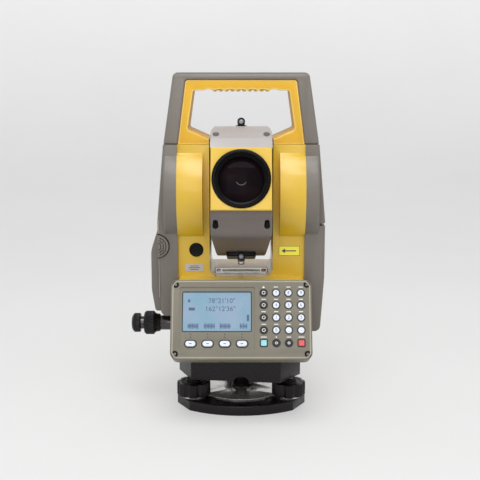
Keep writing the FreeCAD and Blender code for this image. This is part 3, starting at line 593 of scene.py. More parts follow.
def softened(node, width, material=None, segments=3, angle=28.0):
    """A CAD node with its sharp edges rounded off; it stands for the node."""
    source = frame["nodes"][node]
    bm = bmesh.new()
    bm.from_mesh(source.data)
    bmesh.ops.remove_doubles(bm, verts=bm.verts, dist=0.002 * MM)
    bmesh.ops.dissolve_limit(bm, angle_limit=math.radians(0.5), verts=bm.verts, edges=bm.edges)
    mesh = bpy.data.meshes.new(node + "_soft")
    bm.to_mesh(mesh)
    bm.free()
    piece = in_scene(node + "_soft", mesh)
    slot = SLOTS[node]
    mesh.materials.append(MATERIALS[material or slot])
    for polygon in mesh.polygons:
        polygon.use_smooth = True
    bevel = rounded_edges(piece, width, segments)
    bevel.limit_method = "ANGLE"
    bevel.angle_limit = math.radians(angle)
    bevel.miter_outer = "MITER_ARC"
    bevel.harden_normals = True
    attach(piece, BODY_OF[node])
    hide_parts(node)
    return piece


def bored(piece, bm):
    """The shapes in bm, in millimetres, cut out of a piece, whose modifiers are then made real."""
    cutter = in_scene("bores", metre_mesh("bores", bm))
    cut = piece.modifiers.new("bores", "BOOLEAN")
    cut.object = cutter
    cut.operation = "DIFFERENCE"
    piece.modifiers.move(len(piece.modifiers) - 1, 0)
    graph = bpy.context.evaluated_depsgraph_get()
    piece.data = bpy.data.meshes.new_from_object(piece.evaluated_get(graph))
    piece.modifiers.clear()
    bpy.data.objects.remove(cutter)


SLOTS = {part["node"]: part["material_slot"] for part in frame["record"]["subparts"]}
BODY_OF = {node: body for body, nodes in frame["record"]["behaviour"]["bodies"].items() for node in nodes}


def dress_cad_nodes():
    """Every CAD node takes the material of its slot."""
    for node, obj in frame["nodes"].items():
        obj.data.materials.clear()
        obj.data.materials.append(MATERIALS[SLOTS[node]])
        smooth(obj.data)


# ---------------------------------------------------------------- stage

def backdrop():
    """A round pale floor that curves up into a wall all round."""
    floor_r = 1900
    bend = 600
    wall_top = 2600
    steps = 12
    segments = 96
    profile = [(0, 0)]
    for i in range(steps + 1):
        turn = math.pi / 2 * i / steps
        profile.append((bend - bend * math.cos(turn), floor_r + bend * math.sin(turn)))
    profile.append((wall_top, floor_r + bend))
    bm = bmesh.new()
    rings = []
    for height, radius in profile:
        count = segments if radius else 1
        angles = [2 * math.pi * i / segments for i in range(count)]
        rings.append([bm.verts.new((radius * math.cos(turn), radius * math.sin(turn), height))
                      for turn in angles])
    for low, high in zip(rings, rings[1:]):
        for i in range(segments):
            j = (i + 1) % segments
            corners = (low[0], high[i], high[j]) if len(low) == 1 else (low[i], high[i], high[j], low[j])
            bm.faces.new(corners)
    floor = in_scene("studio_floor", metre_mesh("studio_floor", bm))
    floor.data.materials.append(MATERIALS["backdrop"])
    for polygon in floor.data.polygons:
        polygon.use_smooth = True


def add_light(name, place, target, size, power):
    """A square soft light, in metres and watts, that faces a target."""
    data = bpy.data.lights.new(name, "AREA")
    data.shape = "SQUARE"
    data.size = size
    data.energy = power
    light = in_scene(name, data)
    light.location = place
    aim = Vector(target) - Vector(place)
    light.rotation_euler = aim.to_track_quat("-Z", "Y").to_euler()


def studio_light():
    """A softbox above and one in front, in an evenly lit white room."""
    add_light("overhead_softbox", (0.0, -0.45, 1.00), (0, 0, 0.18), 0.6, 5.6)
    add_light("front_softbox", (-0.2, -1.6, 0.75), (0, 0, 0.16), 0.8, 2.8)
    world = bpy.data.worlds.new("studio_world")
    world.use_nodes = True
    background = world.node_tree.nodes["Background"]
    background.inputs["Color"].default_value = (1, 1, 1, 1)
    background.inputs["Strength"].default_value = 0.6
    bpy.context.scene.world = world
    view = bpy.context.scene.view_settings
    view.view_transform = "Standard"
    view.look = "None"


def front_camera():
    """A short telephoto camera at the height of the handle, looking down a little."""
    look_down = 10.5
    data = bpy.data.cameras.new("camera")
    data.lens = 69.5
    data.sensor_width = 36
    camera = in_scene("camera", data)
    camera.location = (-0.0012, -0.935, 0.340)
    camera.rotation_euler = (math.radians(90 - look_down), 0, 0)
    bpy.context.scene.camera = camera


# ---------------------------------------------------------------- working planes

TRUNNION = Vector(joint("telescope_tilt")["pos_m"]) / MM
SCOPE_BACK = Vector(joint("focus_turn")["axis"])
SCOPE = Plane(TRUNNION, X_AXIS, X_AXIS.cross(SCOPE_BACK))
PANEL_INWARD = Vector(joint("key_a1_press")["axis"])
WINDOW_DEPTH = 2.75
PANEL = Plane(centre_mm("display_window") - PANEL_INWARD * WINDOW_DEPTH, X_AXIS, X_AXIS.cross(PANEL_INWARD))
PILLAR_FRONT = Plane((0, -35, 0), X_AXIS, Z_AXIS)
REAR_FACE = Plane((0, 52, 0), -X_AXIS, Z_AXIS)


# ---------------------------------------------------------------- tribrach

def rim_levels(node, at, radius):
    """Lowest and highest z of a node's outermost vertices about an upright axis."""
    levels = [vertex.co.z / MM for vertex in frame["nodes"][node].data.vertices
              if math.hypot(vertex.co.x / MM - at.x, vertex.co.y / MM - at.y) > radius - 2.0]
    return min(levels), max(levels)


def foot_screws():
    """Three knobs with scallops and fine ribs, each on a threaded stud with a ball foot."""
    lobes = 8
    scallop_r = 4.2
    scallop_offset = 2.6
    ribs = 104
    rib_depth = 0.30
    neck_r = 3.6
    stud_r = 4.5
    for node in ("foot_screw_left", "foot_screw_right", "foot_screw_rear"):
        at = Vector(joint(node + "_turn")["pos_m"]) / MM
        at.z = 0
        low, high = box_mm(node)
        knob_r = (high.x - low.x) / 2
        edge = scalloped(lobes, knob_r, knob_r + scallop_offset, scallop_r, ribs, rib_depth)
        bottom, top = rim_levels(node, at, knob_r)
        profile = [(bottom, neck_r), (bottom, knob_r - 1.0, edge), (bottom + 0.8, knob_r, edge),
                   (top - 1.2, knob_r, edge), (top - 0.3, knob_r - 0.5, edge), (top, knob_r - 1.3, edge),
                   (top, 12.4), (top - 0.5, 12.0), (top - 0.5, 9.6), (top, 9.2), (top, 8.4),
                   (top + 0.4, 8.0), (top + 2.4, 8.0), (top + 3.0, 7.4), (top + 3.0, 4.4)]
        knob = turned(node + "_knob", at, Z_AXIS, profile, 4 * ribs, "knob_black", node, 40)
        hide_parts(node)
        profile = [(low.z, 3.2), (low.z + 0.6, 4.2), (low.z + 1.8, 4.5), (low.z + 3.0, 4.2),
                   (low.z + 3.6, neck_r), (bottom, neck_r), (bottom + 1, neck_r), (top + 2.9, neck_r),
                   (top + 2.9, 4.3)]
        profile += thread(top + 3.2, high.z - 0.4, stud_r, 0.9, 0.45)
        profile.append((high.z, 3.8))
        turned(node + "_stud", at, Z_AXIS, profile, 48, "bare_steel", node)


def base_thread():
    """Thread crests inside the tripod bore."""
    top = box_mm("base_plate")[1].z
    bore_r = 6.8
    pitch = 1.75
    crests = 5
    profile = [(0.3, bore_r + 0.3)]
    for crest in range(crests):
        low = 0.8 + pitch * crest
        profile += [(low, bore_r), (low + 0.85, bore_r - 0.55), (low + 1.6, bore_r)]
    profile += [(top - 0.3, bore_r + 0.3), (0.3, bore_r + 0.3)]
    turned("tripod_thread", Vector((0, 0, 0)), Z_AXIS, profile, 64, "bare_steel", "tribrach")


def circular_level():
    """A bright case, a domed vial with its printed circle, and the bubble a little off centre."""
    low, high = box_mm("circular_level")
    at = (low + high) / 2
    at.z = 0
    ring_r = (high.x - low.x) / 2
    vial_r = 7.0
    foot = low.z
    top = high.z
    profile = [(foot, ring_r - 0.6), (foot + 0.4, ring_r), (foot + 2.2, ring_r), (foot + 2.5, ring_r - 0.3),
               (foot + 2.8, ring_r), (top - 0.6, ring_r), (top, ring_r - 0.6), (top, vial_r + 0.6),
               (top - 0.5, vial_r + 0.1), (top - 1.6, vial_r), (foot, vial_r), (foot, ring_r - 0.6)]
    case = turned("circular_level_case", at, Z_AXIS, profile, 80, "level_metal", "tribrach")
    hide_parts("circular_level")
    profile = [(foot + 1, vial_r + 0.05), (top - 1.4, vial_r + 0.05), (top - 1.0, 6.0), (top - 0.7, 3.6),
               (top - 0.6, 0.0)]
    turned("circular_level_vial", at, Z_AXIS, profile, 64, "vial", "tribrach")
    print_low = top - 0.75
    print_high = top - 0.55
    profile = [(print_low, 2.5), (print_high, 2.5), (print_high, 2.15), (print_low, 2.15), (print_low, 2.5)]
    turned("circular_level_mark", at, Z_AXIS, profile, 48, "ink_dark", "tribrach")
    drift = Vector((0.5, -0.3, 0))
    profile = [(top - 0.9, 1.7), (top - 0.6, 1.5), (top - 0.5, 0.9), (top - 0.46, 0.0)]
    turned("circular_level_bubble", at + drift, Z_AXIS, profile, 40, "key_white", "tribrach")


def tribrach_trim():
    """The hub's flared collar under the block, and the two bright pins beside it on the spring plate."""
    plate_top = box_mm("spring_plate")[1].z
    block_bottom = box_mm("tribrach_body")[0].z
    hub_r = 8.8
    collar_r = 9.6
    flare_r = 12.5
    start = plate_top + 0.4
    collar = block_bottom - start
    profile = [(0, hub_r), (0, collar_r), (collar, collar_r), (collar + 6.0, flare_r),
               (collar + 12.0, flare_r), (collar + 12.0, hub_r), (0, hub_r)]
    turned("hub_collar", Vector((0, 0, start)), Z_AXIS, profile, 64, "tribrach_black", "tribrach")
    bm = bmesh.new()
    for x in (-7.4, 7.4):
        foot = Vector((x, -14.0, plate_top))
        lathe(bm, foot, Z_AXIS, [(-0.3, 1.8), (0.9, 1.8), (1.3, 1.3), (1.3, 0)], segments=28)
    make_piece("hub_pins", bm, "bare_steel", "tribrach")


# ---------------------------------------------------------------- alidade

def pillar_cap():
    """The round black cap on the left pillar's front face."""
    profile = [(-0.4, 7.0), (0.5, 7.0), (1.1, 6.5), (1.3, 5.9), (1.0, 5.3), (0.9, 3.0), (1.0, 0.0)]
    turned("pillar_cap", PILLAR_FRONT.at(-44.4, 163.4), -Y_AXIS, profile, 64, "screw_black", "alidade")


def blank_plate():
    """The silver plate on the left pillar, with plain lines in place of its print."""
    centre = Vector((-46.6, 145.3))
    line_gap = 1.7
    bm = bmesh.new()
    rounded_slab(bm, PILLAR_FRONT, (18.4, 7.4, 0.8), centre, -0.3, 0.25, 0.12)
    make_piece("blank_plate", bm, "label_silver", "alidade")
    bm = bmesh.new()
    for line, length in ((-1, 8.5), (0, 11.5), (1, 8.5)):
        at = (centre.x, centre.y + line * line_gap)
        rounded_slab(bm, PILLAR_FRONT, (length, 0.6, 0.1), at, 0.2, 0.32)
    make_piece("blank_plate_lines", bm, "ink_dark", "alidade")


def arrow_plate():
    """The yellow plate on the right pillar, with a thin border and a plain arrow."""
    x, y = 47.6, 162.3
    print_low, print_high = 0.2, 0.30
    bm = bmesh.new()
    rounded_slab(bm, PILLAR_FRONT, (21.4, 10.4, 0.6), (x, y), -0.3, 0.22)
    make_piece("arrow_plate", bm, "label_yellow", "alidade")
    bm = bmesh.new()
    rounded_ring(bm, PILLAR_FRONT, (21.0, 10.0, 0.5), (20.0, 9.0, 0.3), (x, y), print_low, print_high)
    rounded_slab(bm, PILLAR_FRONT, (11.0, 1.1, 0.1), (x + 1.2, y), print_low, print_high)
    head = [(x - 7.8, y), (x - 4.2, y - 2.3), (x - 4.2, y + 2.3)]
    slab(bm, PILLAR_FRONT, head, print_low, print_high)
    make_piece("arrow_plate_print", bm, "ink_dark", "alidade")


def plate_level():
    """The long vial in its case between the pillars, with graduations, bubble and two end screws."""
    low, high = box_mm("plate_level")
    centre = (low + high) / 2
    top = high.z
    half_x = (high.x - low.x) / 2
    vial_r = 4.1
    vial_z = top - 3.2
    vial_half = half_x - 7.8
    vial_start = Vector((centre.x - vial_half, centre.y, vial_z))
    upper = Plane((centre.x, centre.y, 0), X_AXIS, Y_AXIS)
    bm = bmesh.new()
    outer = (2 * half_x, high.y - low.y, 1.5)
    inner = (2 * half_x - 15, 9.0, 1.5)
    rounded_ring(bm, upper, outer, inner, (0, 0), low.z, top, 5)
    case = make_piece("plate_level_case", bm, "level_metal", "alidade")
    rounded_edges(case, 0.5, 3)
    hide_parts("plate_level")
    end_round = 0.6
    profile = [(0, vial_r - end_round), (end_round, vial_r), (2 * vial_half - end_round, vial_r),
               (2 * vial_half, vial_r - end_round)]
    turned("plate_level_vial", vial_start, X_AXIS, profile, 56, "vial", "alidade")
    bm = bmesh.new()
    line = 0.14
    for step in range(4):
        for side in (-1, 1):
            along = vial_half + side * (6.0 + 2.0 * step)
            profile = [(along - line, vial_r - 0.1), (along - line, vial_r + 0.05),
                       (along + line, vial_r + 0.05), (along + line, vial_r - 0.1),
                       (along - line, vial_r - 0.1)]
            lathe(bm, vial_start, X_AXIS, profile, segments=56)
    make_piece("plate_level_marks", bm, "ink_dark", "alidade")
    bm = bmesh.new()
    bubble = Plane((centre.x, centre.y, vial_z), X_AXIS, Y_AXIS)
    rounded_slab(bm, bubble, (11.0, 2.6, 1.29), (0, 0), vial_r - 0.6, vial_r + 0.03, 0.3, 8)
    make_piece("plate_level_bubble", bm, "key_white", "alidade")
    for side, size, finish in ((-1, 2.0, "level_metal"), (1, 2.4, "brass")):
        at = Vector((centre.x + side * (half_x - 3.6), centre.y, top))
        profile = [(-0.5, size), (0.9, size), (1.3, size - 0.4), (1.3, 0.9), (0.6, 0.9), (0.6, 0)]
        turned("plate_level_screw_" + finish, at, Z_AXIS, profile, 36, finish, "alidade")


def plummet():
    """The plummet's ribbed focusing ring and the small lens inside it."""
    low, high = box_mm("plummet_ring")
    at = (low + high) / 2
    at.y = 0
    near = low.y
    far = high.y
    ring_r = (high.x - low.x) / 2
    bore_r = 7.1
    rib_count = 48
    ribs = fluted(rib_count, 0.45)
    profile = [(near, bore_r), (near, ring_r - 1.0), (near + 0.6, ring_r - 0.4), (near + 2.0, ring_r - 0.4),
               (near + 2.3, ring_r, ribs), (far - 3.4, ring_r, ribs), (far - 3.0, ring_r - 0.5),
               (far - 1.0, ring_r - 0.9), (far, ring_r - 2.0), (far, 9.0), (far - 0.8, 8.2),
               (far - 0.8, bore_r), (near, bore_r)]
    ring = turned("plummet_grip", at, Y_AXIS, profile, 6 * rib_count, "knob_black", "plummet_ring")
    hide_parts("plummet_ring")
    profile = [(far - 2.4, 6.0), (far - 1.4, 6.0), (far - 0.8, 4.4), (far - 0.5, 2.4), (far - 0.4, 0)]
    turned("plummet_lens", at, Y_AXIS, profile, 48, "lens", "alidade")


def rear_details():
    """The data port's contacts and its ring, and a blank plate on the housing's rear face."""
    port = Vector((34, 52, 80))
    pins = 6
    circle_r = 3.4
    bm = bmesh.new()
    lathe(bm, port, Y_AXIS, [(0.1, 6.9), (0.4, 6.9), (0.4, 0)], segments=40)
    for i in range(pins):
        turn = 2 * math.pi * i / pins
        pin = port + Vector((circle_r * math.cos(turn), 0, circle_r * math.sin(turn)))
        lathe(bm, pin, Y_AXIS, [(0.3, 0.6), (2.6, 0.6), (2.9, 0.3), (2.9, 0)], segments=14)
    make_piece("data_port_contacts", bm, "brass", "alidade")
    profile = [(3.8, 9.05), (4.0, 9.5), (5.0, 9.5), (5.2, 9.2), (5.2, 7.0), (3.8, 7.0), (3.8, 9.05)]
    turned("data_port_ring", port, Y_AXIS, profile, 64, "dark_nickel", "alidade")
    bm = bmesh.new()
    rounded_slab(bm, REAR_FACE, (34, 18, 1.5), (36, 118), -0.3, 0.3, 0.15)
    make_piece("rear_blank_plate", bm, "label_silver", "alidade")


def battery_details():
    """Curved ribs on the battery's latch, the dark gap round it, and a light strip above and below it along the
    battery's joint with the case, a painted highlight for the glint on the case's rounded front edge.
    """
    low, high = box_mm("battery_latch")
    middle = (low + high) / 2
    latch_r = (high.z - low.z) / 2
    flat_x = low.x - 0.3
    case_front = -38
    latch_face = Plane((flat_x, low.y, middle.z), X_AXIS, Z_AXIS)
    bm = bmesh.new()
    for rib in range(3):
        reach = latch_r - 2.0 - 2.5 * rib
        arc_band(bm, latch_face, reach, reach - 0.6, -77.4, 154.8, 14, -0.3, 0.12)
    make_piece("battery_latch_ribs", bm, "seam_dark", "battery_latch")
    bm = bmesh.new()
    case_face = Plane((flat_x, case_front, middle.z), X_AXIS, Z_AXIS)
    arc_band(bm, case_face, latch_r + 1.2, latch_r + 0.1, -90, 180, 24, -0.3, 0.06)
    make_piece("battery_latch_outline", bm, "seam_dark", "alidade")
    case_bottom = box_mm("left_case")[0].z
    # A painted highlight: a light strip along the battery's joint with the case, for the glint on the case's
    # rounded front edge.
    glint_plane = Plane((flat_x + 1.4, case_front, 0), X_AXIS, Z_AXIS)
    half_width = 0.25
    bm = bmesh.new()
    gap = latch_r + 2
    for start, end in ((case_bottom + 20, middle.z - gap), (middle.z + gap, case_bottom + 98)):
        outline = [(-half_width, start), (half_width, start), (half_width, end), (-half_width, end)]
        slab(bm, glint_plane, outline, -0.6, 0.1)
    make_piece("battery_side_painted_glint", bm, "panel_light", "alidade")


def grip_ridges():
    """Fine finger ridges across the underside of the grip's bar."""
    ridges = 10
    pitch = 5.7
    ridge_r = 2.6
    reach = 17.0
    end_round = 0.8
    level = box_mm("handle_grip")[1].z - 9.0
    profile = [(0, ridge_r - end_round), (end_round, ridge_r), (2 * reach - end_round, ridge_r),
               (2 * reach, ridge_r - end_round)]
    bm = bmesh.new()
    for ridge in range(ridges):
        x = (ridge - (ridges - 1) / 2) * pitch
        lathe(bm, Vector((x, -reach, level)), Y_AXIS, profile, segments=24)
    make_piece("grip_ridges", bm, "yellow_plastic", "alidade")


# ---------------------------------------------------------------- knobs

def knob_pair(prefix, start, out):
    """The clamp ring on its bright sleeve and the tangent knob beyond it, along one line."""
    clamp = prefix + "_clamp"
    tangent = prefix + "_tangent"
    profile = [(-7, 7.4), (4.2, 7.4), (4.6, 7.0), (5.2, 7.0), (5.6, 7.5), (20.0, 7.5), (20.6, 7.2),
               (21.2, 7.2)]
    turned(clamp + "_sleeve", start, out, profile, 72, "dark_nickel", clamp)
    rib_count = 44
    rim_r = 12.0
    ribs = fluted(rib_count, 0.55)
    profile = [(20.6, 7.0), (20.6, 8.2), (21.2, 8.9), (24.6, 9.4), (26.2, 10.6), (26.6, 11.2),
               (27.2, rim_r, ribs), (28.2, rim_r, ribs), (35.0, rim_r, ribs), (35.8, 11.4), (36.6, 10.8),
               (37.0, 10.0), (37.0, 7.0), (36.2, 6.8), (36.2, 3.7)]
    ring = turned(clamp + "_ring", start, out, profile, 6 * rib_count, "knob_black", clamp, 40)
    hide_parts(clamp)
    profile = [(30, 3.4), (36.6, 3.4), (37.2, 6.2), (37.5, 6.5), (40.5, 6.5), (40.8, 6.2), (41.2, 5.0)]
    turned(tangent + "_spacer", start, out, profile, 64, "dark_nickel", tangent)
    rib_count = 36
    rim_r = 9.75
    ribs = fluted(rib_count, 0.5)
    profile = [(40.8, 4.0), (40.8, 8.9), (41.3, 9.4), (41.6, rim_r, ribs), (47.0, rim_r, ribs), (47.7, 9.1),
               (48.2, 8.6), (49.0, 7.6), (49.6, 6.2), (49.9, 4.4), (50.0, 0.0)]
    knob = turned(tangent + "_knob", start, out, profile, 6 * rib_count, "knob_black", tangent,
                  40)
    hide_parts(tangent)


# ---------------------------------------------------------------- keyboard

PANEL_LENGTH = 77.0
DIGITS = {"a2": "7", "a3": "8", "a4": "9", "b2": "4", "b3": "5", "b4": "6", "c2": "1", "c3": "2", "c4": "3",
          "d2": "0", "d3": ".", "d4": "-"}
RING_KEYS = ("a1", "b1", "c1", "d1", "e2", "e3")
SQUARE_KEYS = ("key_e1", "key_e4")
KEYS = sorted(node for node in frame["nodes"] if node.startswith(("key_", "soft_key_")))


def panel_trim():
    """The panel's raised rim and the dark surround of the display window."""
    low, high = extent("keyboard_housing", PANEL)
    width = high.x - low.x
    at = ((low.x + high.x) / 2, high.y - PANEL_LENGTH / 2)
    bm = bmesh.new()
    outer = (width - 2.8, PANEL_LENGTH - 2.8, 6.0)
    inner = (width - 5.0, PANEL_LENGTH - 5.0, 5.0)
    rounded_ring(bm, PANEL, outer, inner, at, -0.2, 0.15, 10)
    rim = make_piece("panel_rim", bm, "panel_light", "alidade")
    rounded_edges(rim, 0.12, 2)
    low, high = extent("display_window", PANEL)
    at = middle_of(low, high)
    size = high - low
    bm = bmesh.new()
    outer = (size.x + 1.6, size.y + 1.6, 1.6)
    inner = (size.x + 0.1, size.y + 0.1, 1.0)
    rounded_ring(bm, PANEL, outer, inner, at, -1.2, -0.85)
    make_piece("window_surround", bm, "seam_dark", "alidade")


def panel_screws():
    """A dark countersunk ring and a dark grey socket over each corner screw of the keyboard."""
    low, high = extent("keyboard_housing", PANEL)
    inset_x = 4.6
    inset_top = 5.0
    inset_bottom = 5.4
    ring = [(-0.12, 1.25), (0.05, 1.35), (0.12, 2.5), (0.12, 3.1), (-0.1, 3.1), (-0.12, 1.25)]
    socket = [(-0.2, 1.25), (0.03, 1.2), (0.05, 0)]
    rings = bmesh.new()
    sockets = bmesh.new()
    for x in (low.x + inset_x, high.x - inset_x):
        for y in (high.y - inset_top, high.y - PANEL_LENGTH + inset_bottom):
            lathe(rings, PANEL.at(x, y), PANEL.out, ring, segments=40)
            lathe(sockets, PANEL.at(x, y), PANEL.out, socket, segments=24)
    make_piece("panel_screw_rings", rings, "screw_black", "alidade")
    make_piece("panel_screw_sockets", sockets, "screw_grey", "alidade")


def key_surrounds():
    """Dark printed rings round the keypad's keys and dark lozenges round the soft keys."""
    printed_levels = (-0.1, 0.12)
    recessed_levels = (-1.1, -0.85)
    bm = bmesh.new()
    for node in KEYS:
        low, high = extent(node, PANEL)
        at = middle_of(low, high)
        if node.startswith("soft"):
            rounded_ring(bm, PANEL, (12.2, 7.6, 3.79), (9.9, 5.5, 2.7), at, *recessed_levels, 8)
        elif node in SQUARE_KEYS:
            rounded_ring(bm, PANEL, (7.8, 7.8, 1.5), (5.75, 5.75, 0.85), at, *printed_levels)
        else:
            rounded_ring(bm, PANEL, (8.2, 8.2, 4.09), (6.15, 6.15, 3.07), at, *printed_levels, 10)
    make_piece("key_surrounds", bm, "ink_black", "alidade")


def key_legends():
    """Digits on the white keys, a bar on each soft key and a ring on each dark key."""
    line = 0.55
    for node in KEYS:
        low, high = extent(node, PANEL)
        at = middle_of(low, high)
        bottom = high.z - 0.05
        top = high.z + 0.05
        name = node.split("_")[-1]
        if name in DIGITS:
            bm = bmesh.new()
            text_points(bm, DIGITS[name], PANEL, *at, 4.2, bottom, top)
            make_piece(node + "_legend", bm, "ink_key", node)
        elif node.startswith("soft"):
            bm = bmesh.new()
            rounded_slab(bm, PANEL, (2.6, 0.7, 0.1), at, bottom, top)
            make_piece(node + "_legend", bm, "ink_key", node)
        elif name in RING_KEYS:
            ring_r = 1.7 if name.endswith("1") else 1.3
            raised = high.z + 0.06
            profile = [(bottom, ring_r), (raised, ring_r), (raised, ring_r - line), (bottom, ring_r - line),
                       (bottom, ring_r)]
            turned(node + "_legend", PANEL.at(*at), PANEL.out, profile, 36, "ink_white", node)


def printed_marks():
    """Two dots above each soft key; above the others a bar, a triangle or a dot."""
    bottom = -0.1
    top = 0.07
    dot = [(-1.1, 0.6), (-0.92, 0.6), (-0.92, 0)]
    dots = bmesh.new()
    bars = bmesh.new()
    for node in KEYS:
        x, y = middle_of(*extent(node, PANEL))
        above = y + 5.7
        if node.startswith("soft"):
            for rise in (6.2, 9.0):
                lathe(dots, PANEL.at(x, y + rise), PANEL.out, dot, segments=20)
        elif node == "key_a1":
            triangle = [(x - 1.5, above - 1.0), (x + 1.5, above - 1.0), (x, above + 1.2)]
            slab(bars, PANEL, triangle, bottom, top)
        elif node == "key_e2":
            lathe(bars, PANEL.at(x, above), PANEL.out, [(bottom, 0.7), (top, 0.7), (top, 0)], segments=20)
        else:
            width = 5.6 if node in SQUARE_KEYS else 4.2
            rounded_slab(bars, PANEL, (width, 0.8, 0.1), (x, above), bottom, top)
    make_piece("soft_key_dots", dots, "ink_dark", "alidade")
    make_piece("key_bars", bars, "ink_white", "alidade")


def screen_characters():
    """Two angle readings, three plain signs and four plain captions on the display."""
    low, high = extent("display_window", PANEL)
    size = high - low
    bottom = high.z - 0.03
    top = high.z + 0.05
    text_height = 6.6

    def spot(across, up):
        return low.x + size.x * across, low.y + size.y * up

    bm = bmesh.new()
    text_points(bm, "78°21'10\"", PANEL, *spot(0.57, 0.78), text_height, bottom, top)
    text_points(bm, "162°12'36\"", PANEL, *spot(0.55, 0.57), text_height, bottom, top)
    rounded_slab(bm, PANEL, (2.2, 2.8, 0.2), spot(0.09, 0.78), bottom, top)
    rounded_slab(bm, PANEL, (6.0, 2.8, 0.2), spot(0.13, 0.57), bottom, top)
    rounded_slab(bm, PANEL, (2.2, 6.0, 0.3), spot(0.955, 0.34), bottom, top)
    stroke_pitch = 1.3
    stroke_half = 0.4
    cross_half = 0.3
    for share, width in ((0.15, 10.5), (0.39, 10.5), (0.62, 10.5), (0.89, 7.5)):
        middle, y = spot(share, 0.13)
        left = middle - width / 2
        strokes = int(width / stroke_pitch)
        for i in range(strokes):
            x = left + (i + 0.5) * width / strokes
            half = (5.0, 3.8, 5.6, 4.4)[(i * 7 + int(share * 10)) % 4] / 2
            slab(bm, PANEL, [(x - stroke_half, y - half), (x + stroke_half, y - half),
                             (x + stroke_half, y + half), (x - stroke_half, y + half)], bottom, top)
        slab(bm, PANEL, [(left, y - cross_half), (left + width, y - cross_half),
                         (left + width, y + cross_half), (left, y + cross_half)], bottom, top)
    make_piece("screen_characters", bm, "ink_screen", "alidade")


# ---------------------------------------------------------------- telescope

def objective():
    """The barrel with its stepped black mouth and baffle rings, and the domed coated lens with a faint grey arc on
    its crown, a painted highlight for an inner element's edge catching the light.
    """
    low, high = extent("objective_barrel", SCOPE)
    rim_r = high.x
    front = high.z
    rear = low.z
    bore_r = 22.0
    seat = front - 15
    profile = [(rear, bore_r), (rear, rim_r), (front - 0.8, rim_r), (front - 0.3, rim_r - 0.25),
               (front, rim_r - 0.9), (front, 25.3), (front - 0.7, 24.6), (front - 2.6, 24.5),
               (front - 2.9, 23.9), (front - 5.0, 23.9), (front - 5.3, 23.0), (front - 6.0, 22.8)]
    baffles = 4
    for baffle in range(baffles):
        depth = front - 6.4 - 1.1 * baffle
        profile += [(depth, bore_r), (depth - 0.5, bore_r + 0.4)]
    profile += [(seat, bore_r), (seat, 20.0), (seat - 5, 20.0), (seat - 5, bore_r), (rear, bore_r)]
    barrel = turned("objective_mouth", SCOPE.origin, SCOPE.out, profile, 144, "barrel_black", "telescope",
                    25)
    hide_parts("objective_barrel")
    lens_r = 21.9
    rim = seat + 4
    bulge = 3.0
    sphere_r = (lens_r ** 2 + bulge ** 2) / (2 * bulge)
    steps = 14
    profile = [(seat, 0.0), (seat, lens_r), (rim, lens_r)]
    for i in range(1, steps + 1):
        r = lens_r * (1 - i / steps)
        profile.append((rim + math.sqrt(sphere_r ** 2 - r ** 2) - (sphere_r - bulge), r))
    glass = turned("objective_glass", SCOPE.origin, SCOPE.out, profile, 96, "lens", "telescope")
    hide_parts("objective_lens")
    # A faint grey arc on the lens crown: a painted highlight for an inner element's edge catching the light.
    crown = rim + bulge
    glint_r = 5.2
    bm = bmesh.new()
    arc_band(bm, SCOPE, glint_r, glint_r - 0.5, 205, 130, 24, crown - 0.8, crown - 0.02)
    make_piece("objective_inner_glint", bm, "mark_dim", "telescope")


def scope_rings():
    """The ribbed focusing and eyepiece rings at the back of the telescope, and the eyepiece's lens."""
    back = -SCOPE.out
    low, high = extent("focus_ring", SCOPE)
    start = -high.z
    end = -low.z
    ring_r = high.x
    bore_r = 18.1
    rib_count = 60
    ribs = fluted(rib_count, 0.6)
    profile = [(start, bore_r), (start, ring_r - 1.4), (start + 0.6, ring_r - 0.8),
               (start + 1.8, ring_r - 0.8), (start + 2.2, ring_r, ribs), (end - 3.2, ring_r, ribs),
               (end - 2.8, ring_r - 0.7),
               (end - 1.2, ring_r - 0.8), (end, ring_r - 2.2), (end, bore_r), (start, bore_r)]
    ring = turned("focus_grip", SCOPE.origin, back, profile, 6 * rib_count, "knob_black", "focus_ring",
                  40)
    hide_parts("focus_ring")
    low, high = extent("eyepiece_ring", SCOPE)
    start = -high.z
    end = -low.z
    ring_r = high.x
    bore_r = 10.1
    rib_count = 44
    ribs = fluted(rib_count, 0.5)
    profile = [(start, bore_r), (start, ring_r - 0.8), (start + 0.6, ring_r - 0.2),
               (start + 1.4, ring_r, ribs), (start + 6.0, ring_r, ribs), (start + 6.4, ring_r - 0.8),
               (start + 7.4, ring_r - 1.2),
               (end - 3.0, ring_r - 1.8), (end - 0.8, ring_r - 2.4), (end, ring_r - 3.4), (end, 11.6),
               (end - 1.6, 10.8), (end - 1.6, bore_r), (start, bore_r)]
    ring = turned("eyepiece_grip", SCOPE.origin, back, profile, 6 * rib_count, "knob_black", "eyepiece_ring",
                  40)
    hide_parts("eyepiece_ring")
    profile = [(end - 4.5, 9.6), (end - 3.2, 9.6), (end - 2.6, 7.0), (end - 2.3, 3.5), (end - 2.2, 0)]
    turned("eyepiece_glass", SCOPE.origin, back, profile, 56, "lens", "telescope")


